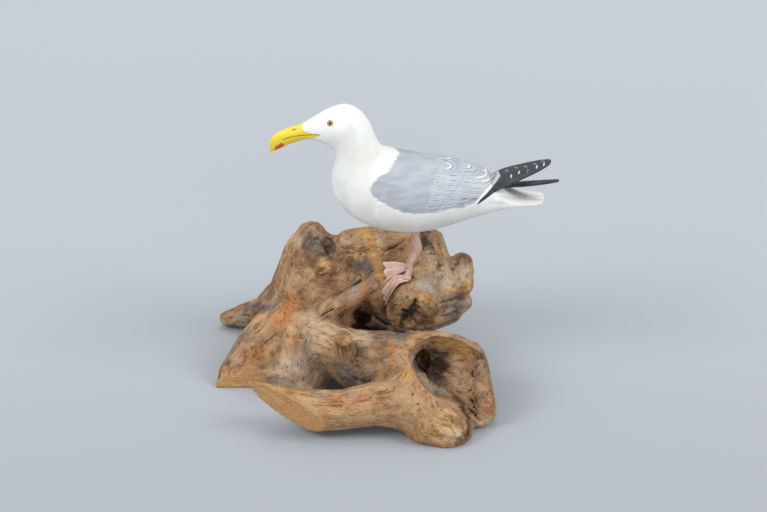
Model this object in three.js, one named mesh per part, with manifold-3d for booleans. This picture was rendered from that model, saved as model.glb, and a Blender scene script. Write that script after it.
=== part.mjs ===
// A small gull, carved and painted, standing on a piece of driftwood.
// Millimetres, +Z up, the bill toward -X. The origin is on the ground, under the middle of the whole.
import * as THREE from 'three';
import { mergeVertices } from 'three/addons/utils/BufferGeometryUtils.js';
import Module from 'manifold-3d';

const wasm = await Module();
wasm.setup();

// Driving dimensions
const WOOD_CELL = 5;
const WOOD_EASING = 0.35;
const WOOD_LOW = [-97, -71];
const WOOD_HIGH = [67, 73, 80];
const BODY_MIDDLE_Y = 16;
const BODY_RINGS = 44;
const BODY_SIDES = 20;
const HOLLOW_RINGS = 6;
const HOLLOW_SIDES = 12;
const WING_RISE = 0.9;
const FOOT_THICKNESS = 1.3;
const FOOT_CLEARANCE = 0.5;
const WEB_SCALLOP = 1.2;
const HEEL_RADIUS = 2.1;
const FOOT_RINGS = 6;
const FOOT_SPAN = 8;
const LEG_STEPS = 9;
const PIN_RADIUS = 0.9;
const PIN_HEIGHT = 2.6;
const PIN_CLEARANCE = 0.1;
const ORIGIN_X = 0.7;
const ORIGIN_Y = -2.4;

// Driftwood: each limb is a chain of balls, x, y, z and radius, blended into the others over its blend
const LIMBS = [
  { name: 'horn', blend: 7, balls: [[-38.5, 44, 61, 9], [-43, 43, 53, 10.5], [-45, 38, 38.5, 12]] },
  {
    name: 'back root', blend: 7,
    balls: [[-48, 40, 32, 12], [-64.5, 48.5, 12.5, 8.5], [-78, 52, 6.8, 6.4], [-86, 52.5, 5.2, 4.4]],
  },
  {
    name: 'left ramp', blend: 7,
    balls: [[-41.5, 36, 42.5, 14], [-48, 24, 28, 13], [-67, 3, 17.5, 11.5],
      [-78.3, 0, 4.5, 8.5]],
  },
  { name: 'left toe', blend: 5, balls: [[-82, -7, -0.5, 6.3], [-70, -7, -1.8, 5.5]] },
  {
    name: 'skirt', blend: 5,
    balls: [[-67, -6, 3.5, 6], [-59, -4, 7, 6], [-51, -8, 6, 6], [-38.5, -15.5, 5, 6]],
  },
  {
    name: 'middle ramp', blend: 7,
    balls: [[-36, 26, 33, 14], [-43, 10, 21, 13], [-47, -2, 12, 9], [-51, -8, 6.5, 5]],
  },
  {
    name: 'right ramp', blend: 7,
    balls: [[-27.5, 18, 30.5, 12], [-32.5, 0, 21.5, 12], [-36.5, -12, 11, 9], [-38.5, -18, 4.8, 5.2]],
  },
  { name: 'saddle', blend: 7, balls: [[-35, 34, 39.5, 14], [-18, 32, 39, 14]] },
  {
    name: 'trunk', blend: 5,
    balls: [[-27, 42, 54, 8.5], [-15, 42, 51.5, 14.5], [-1, 43.5, 52.5, 15], [14, 44, 52, 14.5]],
  },
  { name: 'low trunk', blend: 7, balls: [[-35, 24, 39.5, 14], [-19, 24, 39.5, 13], [-6, 24, 35.5, 11]] },
  { name: 'shelf', blend: 5, balls: [[-2, 22, 41.5, 9.5], [12, 21, 42, 11]] },
  { name: 'back of the shelf', blend: 6, balls: [[-6, 33, 44, 10.5], [15, 32, 45, 10.5]] },
  { name: 'column', blend: 5, balls: [[24.5, 45, 57, 8.5], [26, 34, 48.5, 11]] },
  { name: 'stub', blend: 4, balls: [[22.5, 34, 45, 13], [18, 18, 42.5, 12.6], [15.4, 2, 41.9, 13.9]] },
  {
    name: 'lobe', blend: 5,
    balls: [[28, 24, 43, 12], [37.8, 27, 43.5, 10], [40.2, 29, 49.5, 7.8], [41.5, 30, 53.5, 5.8]],
  },
  { name: 'low lobe', blend: 2.5, balls: [[24, 18, 29.5, 9.5], [34, 24, 29.5, 9], [42, 28, 31, 5.5]] },
  { name: 'flank', blend: 4, balls: [[-8, 18, 38, 6], [-1, 12, 33, 6.5], [6.5, 8, 28, 6]] },
  { name: 'underside', blend: 5, balls: [[-18, 22, 24.5, 10], [1, 22, 20, 10], [10, 16, 20.5, 8]] },
  { name: 'hidden root', blend: 6, balls: [[-2, 24, 30, 11], [6, 30, 15, 9], [12, 35, 3, 7]] },
  { name: 'spur', blend: 4, balls: [[-28, 6, 38, 6], [-17, 3, 48.5, 4.6], [-5.4, -1, 59, 3.9]] },
  { name: 'under the neck', blend: 4, balls: [[-16, -15, 13, 7.5], [-6, -18, 13.5, 10], [5, -24, 14, 12]] },
  { name: 'neck', blend: 7, balls: [[-30, -4, 24, 12.5], [-16.5, -11, 22.2, 13.5], [2.5, -20, 24, 14.5]] },
  {
    name: 'log', blend: 8,
    balls: [[4.5, -21, 24, 14], [15.5, -23.5, 23, 16], [29, -28, 22.5, 20.5], [42, -33, 20, 20.5]],
  },
  {
    name: 'back of the log', blend: 6,
    balls: [[22, -18, 22, 15.5], [33, -20, 19.5, 17], [40, -20, 18.5, 15]],
  },
  { name: 'log toe', blend: 6, balls: [[16, -40, 13.5, 17], [24.5, -47.5, 7.5, 15], [31.5, -49.5, 4.5, 14]] },
  { name: 'log side', blend: 5, balls: [[42, -28, 23, 14], [47.5, -36, 10, 12]] },
  {
    name: 'arm', blend: 5,
    balls: [[11, -44, 15, 13], [-4.5, -46, 15.5, 11], [-19.5, -48, 13.5, 10], [-34, -48.5, 13, 10.5],
      [-47, -49, 17.5, 9], [-64, -50, 24, 6]],
  },
  { name: 'peg', blend: 1.5, balls: [[-19, -15, 17.5, 5], [-20.5, -29, 45, 4.5]] },
];

// Hollows worn into the wood, as chains of balls that are taken away
const HOLLOWS = [
  {
    name: 'bore of the log',
    balls: [[22.5, -33, 34, 9.5], [31, -32, 27, 17.4], [39.5, -33.5, 26, 16.6], [43.5, -37, 24, 13.5]],
  },
  { name: 'rot at its bottom', balls: [[24, -28, 29, 6.5], [17, -14, 20.5, 5.5]] },
  { name: 'slot in the rim', balls: [[38, -42, 18, 6], [47, -50, 11.5, 5.5], [60, -55, 5, 10]] },
  {
    name: 'cave under the stub',
    balls: [[-14.5, 1, 38, 4], [-9, 1, 36.2, 4], [-2.8, -1, 34, 2.4], [6, -4, 32.8, 1.6]],
  },
  { name: 'depth of the cave', balls: [[-13, 3, 37, 3.8], [-10, 14, 31, 5.5]] },
  { name: 'gap beside the spur', balls: [[-8, 6, 48, 3.2], [-3.5, 7, 46.5, 3.6]] },
  { name: 'cleft by the horn', balls: [[-29.5, 38, 62, 2.4], [-28, 31, 56, 3]] },
];

// The mouth of the log is broken off along a slanting plane, and its side wall along another
const MOUTH = { point: [24, -46, 25], normal: [0.33, -0.52, 0.79], blend: 1.5 };
const SIDE = { point: [51.5, -24, 29], normal: [0.95, -0.03, 0.29], blend: 3 };
const LOG_FROM_X = 6;
const LOG_TO_Y = -1;

// A piece of the side wall that still stands beside the mouth
const STANDING_WALL = [[49.5, -29.5, 27.5, 3.4], [49.8, -35, 19, 4.8], [51, -40, 9, 6], [50, -41, 4, 5]];

// Sawn ends: where the cut is, the way it faces, its radius and how much is sawn off
const SAWN_ENDS = [
  { name: 'stub', point: [15.2, -3, 41.7], normal: [-0.05, -0.97, -0.22], radius: 15, depth: 10 },
  { name: 'peg', point: [-21, -28, 44.2], normal: [0, -0.55, 0.83], radius: 7, depth: 8 },
  { name: 'arm', point: [-52.5, -50.2, 19.5], normal: [-0.41, -0.89, -0.2], radius: 28, depth: 16 },
  { name: 'left ramp', point: [-78, -8.6, 2], normal: [0, -1, 0], radius: 17, depth: 8 },
];

// Gull: the body's sections from the bill's tip to the tail's end.
// Each is x, z, tilt of its long axis in degrees, half depth and half width.
const SECTIONS = [
  [-57.2, 127.6, 113, 0.6, 0.4],
  [-56.3, 129.4, 124, 2.2, 1.3],
  [-54.4, 131.8, 124, 3.6, 2.0],
  [-50.8, 134.2, 125, 4.1, 2.6],
  [-46.0, 136.3, 124, 4.2, 3.1],
  [-41.6, 137.6, 123, 4.4, 3.8],
  [-38.0, 138.5, 118, 4.8, 5.0],
  [-34.4, 139.3, 109, 6.1, 6.6],
  [-30.4, 139.9, 99, 8.2, 8.3],
  [-26.0, 140.4, 89, 10.7, 9.8],
  [-21.5, 139.6, 79, 13.3, 10.8],
  [-18.4, 135.4, 66, 15.7, 11.4],
  [-16.6, 129.5, 56, 16.7, 12.6],
  [-15.2, 122.5, 50, 17.2, 14.8],
  [-12.8, 115.8, 49, 17.9, 17.6],
  [-6.8, 110.4, 55, 20.0, 20.3],
  [2.0, 106.4, 62, 21.3, 21.7],
  [12.7, 103.8, 68, 21.2, 22.2],
  [24.5, 103.2, 73, 19.9, 21.3],
  [35.8, 103.8, 78.5, 16.8, 18.9],
  [45.8, 104.4, 83, 13.2, 15.6],
  [53.0, 104.6, 86, 10.2, 13.0],
  [58.4, 102.9, 88, 6.4, 11.2],
  [63.4, 101.2, 90, 3.0, 9.8],
  [69.0, 100.4, 91, 1.6, 8.7],
  [75.5, 100.0, 92, 1.1, 7.6],
  [82.1, 99.6, 92, 0.8, 6.5],
];

// The tail's sections grow squarer than ovals, and its near corner is cut away
const TAIL_FROM = [40, 65];
const TAIL_POWER = 0.6;
const NIP_FROM = [74, 82];
const TAIL_NIP = 3.8;

// Folded wing: its outline seen from the side, x and z, and how soft its edge is
const WING_EDGE_SOFT = 2.2;
const WING_OUTLINE = [[3, 118], [-3, 108], [-4, 99], [2, 91], [13, 86.5], [26, 87], [40, 91.5], [54, 96],
  [62, 108], [44, 116], [20, 122]];

// Wing tips, which cross over the tail: x, y, z, half width and half thickness along each
const WING_TIPS = [
  {
    name: 'left tip', lean: 30,
    line: [[48, 9, 109, 5, 1.9], [59.5, 10.7, 113.9, 6, 1.6], [69.5, 15.2, 115.7, 4.9, 1.3],
      [78.5, 18.8, 117.2, 3.5, 1.0], [84, 21, 118.2, 1.9, 0.8], [85.4, 21.6, 118.6, 0.5, 0.5]],
  },
  {
    name: 'right tip', lean: -24,
    line: [[50, 24, 101, 5, 1.8], [61.5, 20.5, 105.2, 5, 1.4], [72.5, 16.6, 108.2, 4.6, 1.5],
      [82, 12.8, 111.2, 3.2, 1.2], [87.6, 10.8, 113, 1.6, 0.8], [88.8, 10.4, 113.4, 0.5, 0.4]],
  },
];
const TIP_RINGS = 12;
const TIP_SIDES = 10;

// Legs: the shank's line from the belly to the heel, then the web's two edges from heel to toe tips
const LEGS = [
  {
    name: 'left_leg',
    shank: [[14.6, 9, 88], [17.6, 9, 75.3], [14.4, 8.6, 66], [12.4, 8.6, 57.4]],
    backEdge: [[13.6, 10.4, 56], [6, 12.2, 55.2], [-1, 12.6, 46]],
    frontEdge: [[13.2, 7, 56], [7, 5, 54.6], [0.8, 3, 43.5]],
  },
  {
    name: 'right_leg',
    shank: [[15.2, 23.4, 88], [16.8, 23.2, 76], [14.9, 22.6, 64], [13, 22, 56.5]],
    backEdge: [[13.4, 23.6, 55.4], [7, 26, 55.6], [-0.5, 26.2, 55.4]],
    frontEdge: [[13, 20.2, 55.2], [7, 16.6, 54], [0.8, 14, 51]],
  },
];
const SHANK_RADII = [1.8, 1.4];
const BELLY_GAP = 0.3;

// Heel pin: a small nail head beside the left heel
const PIN_FOOT = [15, 12.6, 54.6];
const PIN_LEAN = [0.1, -0.35, 0.93];

const PAINT = {
  wood: { color: 0xb08a5c, roughness: 0.85, metalness: 0 },
  gull: { color: 0xe6e4da, roughness: 0.5, metalness: 0 },
  leg: { color: 0xd3a596, roughness: 0.5, metalness: 0 },
  pin: { color: 0x55565a, roughness: 0.5, metalness: 0.7 },
};

// Helpers for turning shapes into solids and back
function solidOf(geometry) {
  const bare = geometry.index ? geometry.toNonIndexed() : geometry.clone();
  bare.deleteAttribute('normal');
  bare.deleteAttribute('uv');
  const merged = mergeVertices(bare, 1e-4);
  return new wasm.Manifold(new wasm.Mesh({
    numProp: 3,
    vertProperties: new Float32Array(merged.attributes.position.array),
    triVerts: new Uint32Array(merged.index.array),
  }));
}

function geometryOf(solid) {
  const mesh = solid.getMesh();
  const geometry = new THREE.BufferGeometry();
  geometry.setAttribute('position', new THREE.BufferAttribute(new Float32Array(mesh.vertProperties), 3));
  geometry.setIndex(new THREE.BufferAttribute(new Uint32Array(mesh.triVerts), 1));
  return geometry;
}

function meshOf(name, geometry, paint) {
  geometry.translate(-ORIGIN_X, -ORIGIN_Y, 0);
  geometry.computeVertexNormals();
  const mesh = new THREE.Mesh(geometry, new THREE.MeshStandardMaterial(paint));
  mesh.name = name;
  return mesh;
}

function triangleGeometry(points, triangles) {
  const geometry = new THREE.BufferGeometry();
  geometry.setAttribute('position', new THREE.Float32BufferAttribute(points.flat(), 3));
  geometry.setIndex(triangles.flat());
  return geometry;
}

// Skins a list of rings of points and closes both ends
function loft(rings) {
  const sides = rings[0].length;
  const points = rings.flat();
  const triangles = [];
  for (let i = 0; i + 1 < rings.length; i += 1) {
    for (let j = 0; j < sides; j += 1) {
      const k = (j + 1) % sides;
      const here = [i * sides + j, i * sides + k];
      const next = [here[0] + sides, here[1] + sides];
      triangles.push([here[0], here[1], next[1]], [here[0], next[1], next[0]]);
    }
  }
  const last = (rings.length - 1) * sides;
  const start = points.push(middleOf(rings[0])) - 1;
  const end = points.push(middleOf(rings.at(-1))) - 1;
  for (let j = 0; j < sides; j += 1) {
    const k = (j + 1) % sides;
    triangles.push([start, k, j], [end, last + j, last + k]);
  }
  return outward(points, triangles);
}

function middleOf(ring) {
  return [0, 1, 2].map((axis) => ring.reduce((sum, point) => sum + point[axis], 0) / ring.length);
}

function outward(points, triangles) {
  let volume = 0;
  for (const [a, b, c] of triangles) {
    const [pa, pb, pc] = [a, b, c].map((i) => new THREE.Vector3(...points[i]));
    volume += pa.dot(pb.cross(pc));
  }
  const faces = volume > 0 ? triangles : triangles.map(([a, b, c]) => [a, c, b]);
  return triangleGeometry(points, faces);
}

// A smooth row of numbers between the rows of a table, for t from 0 to 1
function between(table, t) {
  const place = Math.min(t * (table.length - 1), table.length - 1 - 1e-9);
  const i = Math.floor(place);
  const f = place - i;
  const [a, b, c, d] = [i - 1, i, i + 1, i + 2].map((k) => table[Math.max(0, Math.min(k, table.length - 1))]);
  return b.map((_, n) => 0.5 * (2 * b[n] + (c[n] - a[n]) * f
    + (2 * a[n] - 5 * b[n] + 4 * c[n] - d[n]) * f * f + (3 * b[n] - a[n] - 3 * c[n] + d[n]) * f ** 3));
}

// Driftwood field: distance outside the wood, negative inside
function blendMin(a, b, blend) {
  const h = Math.max(blend - Math.abs(a - b), 0) / blend;
  return Math.min(a, b) - (h * h * blend) / 4;
}

function blendMax(a, b, blend) {
  return -blendMin(-a, -b, blend);
}

function chainDistance(x, y, z, balls) {
  let nearest = Infinity;
  for (let i = 0; i + 1 < balls.length; i += 1) {
    const [ax, ay, az, ar] = balls[i];
    const [bx, by, bz, br] = balls[i + 1];
    const [dx, dy, dz] = [bx - ax, by - ay, bz - az];
    const along = ((x - ax) * dx + (y - ay) * dy + (z - az) * dz) / (dx * dx + dy * dy + dz * dz);
    const t = Math.max(0, Math.min(1, along));
    const reach = Math.hypot(x - ax - t * dx, y - ay - t * dy, z - az - t * dz);
    nearest = Math.min(nearest, reach - ar - t * (br - ar));
  }
  return nearest;
}

function planeDistance(x, y, z, { point, normal }) {
  const length = Math.hypot(...normal);
  const side = (x - point[0]) * normal[0] + (y - point[1]) * normal[1] + (z - point[2]) * normal[2];
  return side / length;
}

function woodDistance(x, y, z) {
  let distance = Infinity;
  for (const { balls, blend } of LIMBS) {
    const limb = chainDistance(x, y, z, balls);
    distance = distance === Infinity ? limb : blendMin(distance, limb, blend);
  }
  if (x < LOG_FROM_X || y > LOG_TO_Y) return distance;
  for (const cut of [MOUTH, SIDE]) distance = blendMax(distance, planeDistance(x, y, z, cut), cut.blend);
  return distance;
}

// A grid of the field's values, with no face whose opposite corners alone are inside
function woodGrid() {
  const low = [...WOOD_LOW, -2.4 * WOOD_CELL];
  const size = low.map((value, axis) => Math.ceil((WOOD_HIGH[axis] - value) / WOOD_CELL) + 1);
  const strides = [size[1] * size[2], size[2], 1];
  const values = new Float64Array(size[0] * size[1] * size[2]);
  for (let n = 0; n < values.length; n += 1) {
    const cell = [Math.floor(n / strides[0]), Math.floor(n / strides[1]) % size[1], n % size[2]];
    const [x, y, z] = cell.map((value, axis) => low[axis] + value * WOOD_CELL);
    values[n] = woodDistance(x, y, z);
  }
  const grid = { low, size, strides, values };
  while (mendDiagonals(grid) > 0);
  return grid;
}

function mendDiagonals({ size, strides, values }) {
  let mended = 0;
  const pairs = [[0, 1], [1, 2], [0, 2]];
  for (let n = 0; n < values.length; n += 1) {
    const cell = [Math.floor(n / strides[0]), Math.floor(n / strides[1]) % size[1], n % size[2]];
    for (const [a, b] of pairs) {
      if (cell[a] + 1 >= size[a] || cell[b] + 1 >= size[b]) continue;
      const corners = [n, n + strides[a], n + strides[a] + strides[b], n + strides[b]];
      const inside = corners.map((corner) => values[corner] < 0);
      if (inside[0] !== inside[2] || inside[1] !== inside[3] || inside[0] === inside[1]) continue;
      const outer = corners.filter((_, k) => !inside[k]);
      const mend = values[outer[0]] < values[outer[1]] ? outer[0] : outer[1];
      values[mend] = -0.02;
      mended += 1;
    }
  }
  return mended;
}

// Lays one point in each cell that the surface passes through, and joins them by squares
function surfaceNet({ low, size, strides, values }) {
  const points = [];
  const triangles = [];
  const pointOf = new Map();
  const corners = [0, 1, 2, 3, 4, 5, 6, 7].map((k) => [k >> 2, (k >> 1) & 1, k & 1]);
  const edges = [];
  for (let a = 0; a < 8; a += 1) {
    for (const bit of [1, 2, 4]) {
      if (!(a & bit)) edges.push([a, a | bit]);
    }
  }
  const offset = (corner) => corner.reduce((sum, step, axis) => sum + step * strides[axis], 0);
  for (let i = 0; i + 1 < size[0]; i += 1) {
    for (let j = 0; j + 1 < size[1]; j += 1) {
      for (let k = 0; k + 1 < size[2]; k += 1) {
        const n = i * strides[0] + j * strides[1] + k;
        const sum = [0, 0, 0];
        let count = 0;
        for (const [a, b] of edges) {
          const va = values[n + offset(corners[a])];
          const vb = values[n + offset(corners[b])];
          if ((va < 0) === (vb < 0)) continue;
          const t = va / (va - vb);
          for (let axis = 0; axis < 3; axis += 1) {
            sum[axis] += corners[a][axis] + t * (corners[b][axis] - corners[a][axis]);
          }
          count += 1;
        }
        if (count === 0) continue;
        const place = [i, j, k].map((value, axis) => low[axis] + (value + sum[axis] / count) * WOOD_CELL);
        pointOf.set(n, points.push(place) - 1);
      }
    }
  }
  for (let n = 0; n < values.length; n += 1) {
    const cell = [Math.floor(n / strides[0]), Math.floor(n / strides[1]) % size[1], n % size[2]];
    for (let axis = 0; axis < 3; axis += 1) {
      const [b, c] = [(axis + 1) % 3, (axis + 2) % 3];
      if (cell[axis] + 1 >= size[axis] || cell[b] === 0 || cell[c] === 0) continue;
      const inside = values[n] < 0;
      if (inside === values[n + strides[axis]] < 0) continue;
      const around = [n - strides[b] - strides[c], n - strides[c], n, n - strides[b]];
      const square = around.map((corner) => pointOf.get(corner));
      if (!inside) square.reverse();
      triangles.push([square[0], square[1], square[2]], [square[0], square[2], square[3]]);
    }
  }
  return outward(eased(points, triangles), triangles);
}

// Moves each point of the net part of the way to the middle of its neighbours
function eased(points, triangles) {
  const sums = points.map(() => [0, 0, 0, 0]);
  for (const [a, b, c] of triangles) {
    for (const [here, there] of [[a, b], [b, c], [c, a]]) {
      for (let axis = 0; axis < 3; axis += 1) sums[here][axis] += points[there][axis];
      sums[here][3] += 1;
    }
  }
  return points.map((point, i) => point.map((value, axis) => {
    return value + WOOD_EASING * (sums[i][axis] / sums[i][3] - value);
  }));
}

function sawBlock({ point, normal, radius, depth }) {
  const block = new THREE.CylinderGeometry(radius, radius, depth, 20);
  const facing = new THREE.Vector3(...normal).normalize();
  block.translate(0, depth / 2, 0);
  block.applyQuaternion(new THREE.Quaternion().setFromUnitVectors(new THREE.Vector3(0, 1, 0), facing));
  block.translate(...point);
  return block;
}

// A round bar through a nearly straight chain of balls, with round ends
function ballChain(balls) {
  const [first, last] = [balls[0], balls.at(-1)];
  const axis = new THREE.Vector3(last[0] - first[0], last[1] - first[1], last[2] - first[2]).normalize();
  const side = new THREE.Vector3(0.3, 0.2, 1).cross(axis).normalize();
  const up = axis.clone().cross(side);
  const ring = ([x, y, z, radius], shift) => {
    return Array.from({ length: HOLLOW_SIDES }, (_, j) => {
      const angle = (j / HOLLOW_SIDES) * 2 * Math.PI;
      const point = new THREE.Vector3(x, y, z).addScaledVector(axis, shift);
      point.addScaledVector(side, radius * Math.cos(angle)).addScaledVector(up, radius * Math.sin(angle));
      return point.toArray();
    });
  };
  const dome = (ball, facing) => [0.35, 0.87, 1.4].map((angle) => {
    return ring([...ball.slice(0, 3), ball[3] * Math.cos(angle)], facing * ball[3] * Math.sin(angle));
  });
  const barrel = steps(HOLLOW_RINGS).map((t) => ring(between(balls, t), 0));
  return loft([...dome(first, -1).reverse(), ...barrel, ...dome(last, 1)]);
}

function driftwood() {
  let wood = solidOf(surfaceNet(woodGrid()));
  for (const { balls } of HOLLOWS) wood = wood.subtract(solidOf(ballChain(balls)));
  wood = wood.add(solidOf(ballChain(STANDING_WALL)));
  for (const end of SAWN_ENDS) wood = wood.subtract(solidOf(sawBlock(end)));
  const ground = new THREE.BoxGeometry(400, 400, 60);
  ground.translate(0, 0, -30);
  wood = wood.subtract(solidOf(ground));
  return wood;
}

// How far the folded wing stands out of the flank at x, z: the full rise inside its outline
function wingRise(x, z) {
  let inside = false;
  let nearest = Infinity;
  for (let i = 0; i < WING_OUTLINE.length; i += 1) {
    const [ax, az] = WING_OUTLINE[i];
    const [bx, bz] = WING_OUTLINE[(i + 1) % WING_OUTLINE.length];
    if ((az > z) !== (bz > z) && x < ax + ((z - az) * (bx - ax)) / (bz - az)) inside = !inside;
    const along = ((x - ax) * (bx - ax) + (z - az) * (bz - az)) / ((bx - ax) ** 2 + (bz - az) ** 2);
    const t = Math.max(0, Math.min(1, along));
    nearest = Math.min(nearest, Math.hypot(x - ax - t * (bx - ax), z - az - t * (bz - az)));
  }
  const signed = inside ? nearest : -nearest;
  return WING_RISE * THREE.MathUtils.smoothstep(signed, -WING_EDGE_SOFT / 2, WING_EDGE_SOFT / 2);
}

// One section of the body: an oval that grows squarer toward the tail, with the folded wing on its flanks
function bodyRing(t) {
  const [x, z, tilt, halfDepth, halfWidth] = between(SECTIONS, t);
  const lean = THREE.MathUtils.degToRad(tilt);
  const power = 1 - (1 - TAIL_POWER) * THREE.MathUtils.smoothstep(x, ...TAIL_FROM);
  const nipped = TAIL_NIP * Math.max(0, Math.min(1, (x - NIP_FROM[0]) / (NIP_FROM[1] - NIP_FROM[0])));
  const ring = [];
  for (let j = 0; j < BODY_SIDES; j += 1) {
    const angle = (j / BODY_SIDES) * 2 * Math.PI;
    const high = Math.sign(Math.cos(angle)) * Math.abs(Math.cos(angle)) ** power;
    const wide = Math.sign(Math.sin(angle)) * Math.abs(Math.sin(angle)) ** power;
    const px = x + halfDepth * high * Math.cos(lean) - nipped * Math.max(-wide, 0) ** 4;
    const pz = z + halfDepth * high * Math.sin(lean);
    const out = Math.abs(wide) * wingRise(px, pz);
    ring.push([px, BODY_MIDDLE_Y + (halfWidth + out) * wide, pz]);
  }
  return ring;
}

function tipRing({ line, lean }, t) {
  const [x, y, z, halfWidth, halfThickness] = between(line, t);
  const tilt = THREE.MathUtils.degToRad(lean);
  const ring = [];
  for (let j = 0; j < TIP_SIDES; j += 1) {
    const angle = (j / TIP_SIDES) * 2 * Math.PI;
    const across = Math.max(halfWidth, 0.3) * Math.cos(angle);
    const up = Math.max(halfThickness, 0.3) * Math.sin(angle);
    ring.push([x, y + across * Math.cos(tilt) - up * Math.sin(tilt),
      z + across * Math.sin(tilt) + up * Math.cos(tilt)]);
  }
  return ring;
}

function steps(count) {
  return Array.from({ length: count + 1 }, (_, i) => i / count);
}

function gull() {
  let carving = solidOf(loft(steps(BODY_RINGS).map(bodyRing)));
  for (const tip of WING_TIPS) {
    carving = carving.add(solidOf(loft(steps(TIP_RINGS).map((t) => tipRing(tip, t)))));
  }
  return carving;
}

// Lifts a point straight up until it is the given distance clear of the wood
function liftClear([x, y, z], clear) {
  let height = z;
  for (let turn = 0; turn < 20; turn += 1) height += Math.max(0, clear - woodDistance(x, y, height));
  return [x, y, height];
}

// A webbed foot: a fan between two edges, thicker along its three toes, draped over the wood
function footRing({ backEdge, frontEdge }, t) {
  const back = between(backEdge, t);
  const front = between(frontEdge, t);
  const sole = steps(FOOT_SPAN).map((s) => {
    const scallop = t === 1 ? WEB_SCALLOP * (1 - toeAt(s)) : 0;
    const point = back.map((value, axis) => value + s * (front[axis] - value));
    return liftClear([point[0] + scallop, point[1], point[2]], FOOT_CLEARANCE);
  });
  const top = sole.map(([x, y, z], i) => {
    return [x, y, z + FOOT_THICKNESS * (0.55 + 0.45 * toeAt(i / FOOT_SPAN))];
  });
  return [...top, ...sole.reverse()];
}

function toeAt(s) {
  return Math.abs(Math.cos(2 * Math.PI * s)) ** 3;
}

function shank({ shank: line }) {
  const section = new THREE.Shape();
  section.absellipse(0, 0, ...SHANK_RADII, 0, 2 * Math.PI);
  const path = new THREE.CatmullRomCurve3(line.map((point) => new THREE.Vector3(...point)));
  return new THREE.ExtrudeGeometry(section, { steps: LEG_STEPS, curveSegments: 3, extrudePath: path });
}

function leg(side, belly) {
  const foot = solidOf(loft(steps(FOOT_RINGS).map((t) => footRing(side, t))));
  const heelPoint = liftClear(side.shank.at(-1), HEEL_RADIUS + FOOT_CLEARANCE);
  const heel = new THREE.SphereGeometry(HEEL_RADIUS, 8, 6);
  heel.translate(...heelPoint);
  const upright = shank({ shank: [...side.shank.slice(0, -1), heelPoint] });
  return foot.add(solidOf(upright)).add(solidOf(heel)).subtract(belly);
}

function heelPin() {
  const pin = new THREE.CylinderGeometry(PIN_RADIUS, PIN_RADIUS, PIN_HEIGHT, 10);
  const up = new THREE.Vector3(...PIN_LEAN).normalize();
  pin.translate(0, PIN_HEIGHT / 2, 0);
  pin.applyQuaternion(new THREE.Quaternion().setFromUnitVectors(new THREE.Vector3(0, 1, 0), up));
  pin.translate(...liftClear(PIN_FOOT, PIN_RADIUS + PIN_CLEARANCE));
  return solidOf(pin);
}

const carving = geometryOf(gull());
const loweredBelly = solidOf(carving.clone().translate(0, 0, -BELLY_GAP));
const group = new THREE.Group();
group.add(meshOf('driftwood_stand', geometryOf(driftwood()), PAINT.wood));
group.add(meshOf('gull', carving, PAINT.gull));
for (const side of LEGS) group.add(meshOf(side.name, geometryOf(leg(side, loweredBelly)), PAINT.leg));
group.add(meshOf('heel_pin', geometryOf(heelPin()), PAINT.pin));

export default group;
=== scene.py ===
import math

import bpy
import numpy as np
from mathutils import Matrix, Vector
from mathutils.bvhtree import BVHTree


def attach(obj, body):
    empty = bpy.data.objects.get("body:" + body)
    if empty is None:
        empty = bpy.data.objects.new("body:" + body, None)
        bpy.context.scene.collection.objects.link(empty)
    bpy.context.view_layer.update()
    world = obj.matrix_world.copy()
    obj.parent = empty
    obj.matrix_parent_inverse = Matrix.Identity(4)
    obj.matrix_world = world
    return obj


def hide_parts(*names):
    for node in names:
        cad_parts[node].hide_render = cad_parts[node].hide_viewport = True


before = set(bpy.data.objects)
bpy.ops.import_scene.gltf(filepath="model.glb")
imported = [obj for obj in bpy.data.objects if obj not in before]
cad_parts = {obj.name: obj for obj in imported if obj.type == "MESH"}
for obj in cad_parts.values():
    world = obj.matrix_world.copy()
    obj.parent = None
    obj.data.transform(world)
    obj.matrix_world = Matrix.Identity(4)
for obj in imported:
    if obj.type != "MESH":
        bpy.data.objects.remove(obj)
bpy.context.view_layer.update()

# Shared frame: the source's own numbers are shifted by this much to stand over the origin
ORIGIN = np.array([0.7, -2.4, 0.0])
METRE = 0.001

# Camera: it looks at a point inside the piece, from in front and above
PICTURE = (767, 512)
LENS = 90.79
SENSOR = 36
CAMERA_ELEVATION = math.radians(30)
CAMERA_DISTANCE = 1000
CAMERA_TARGET = np.array([0.0, 10.0, 69.5])

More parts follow.
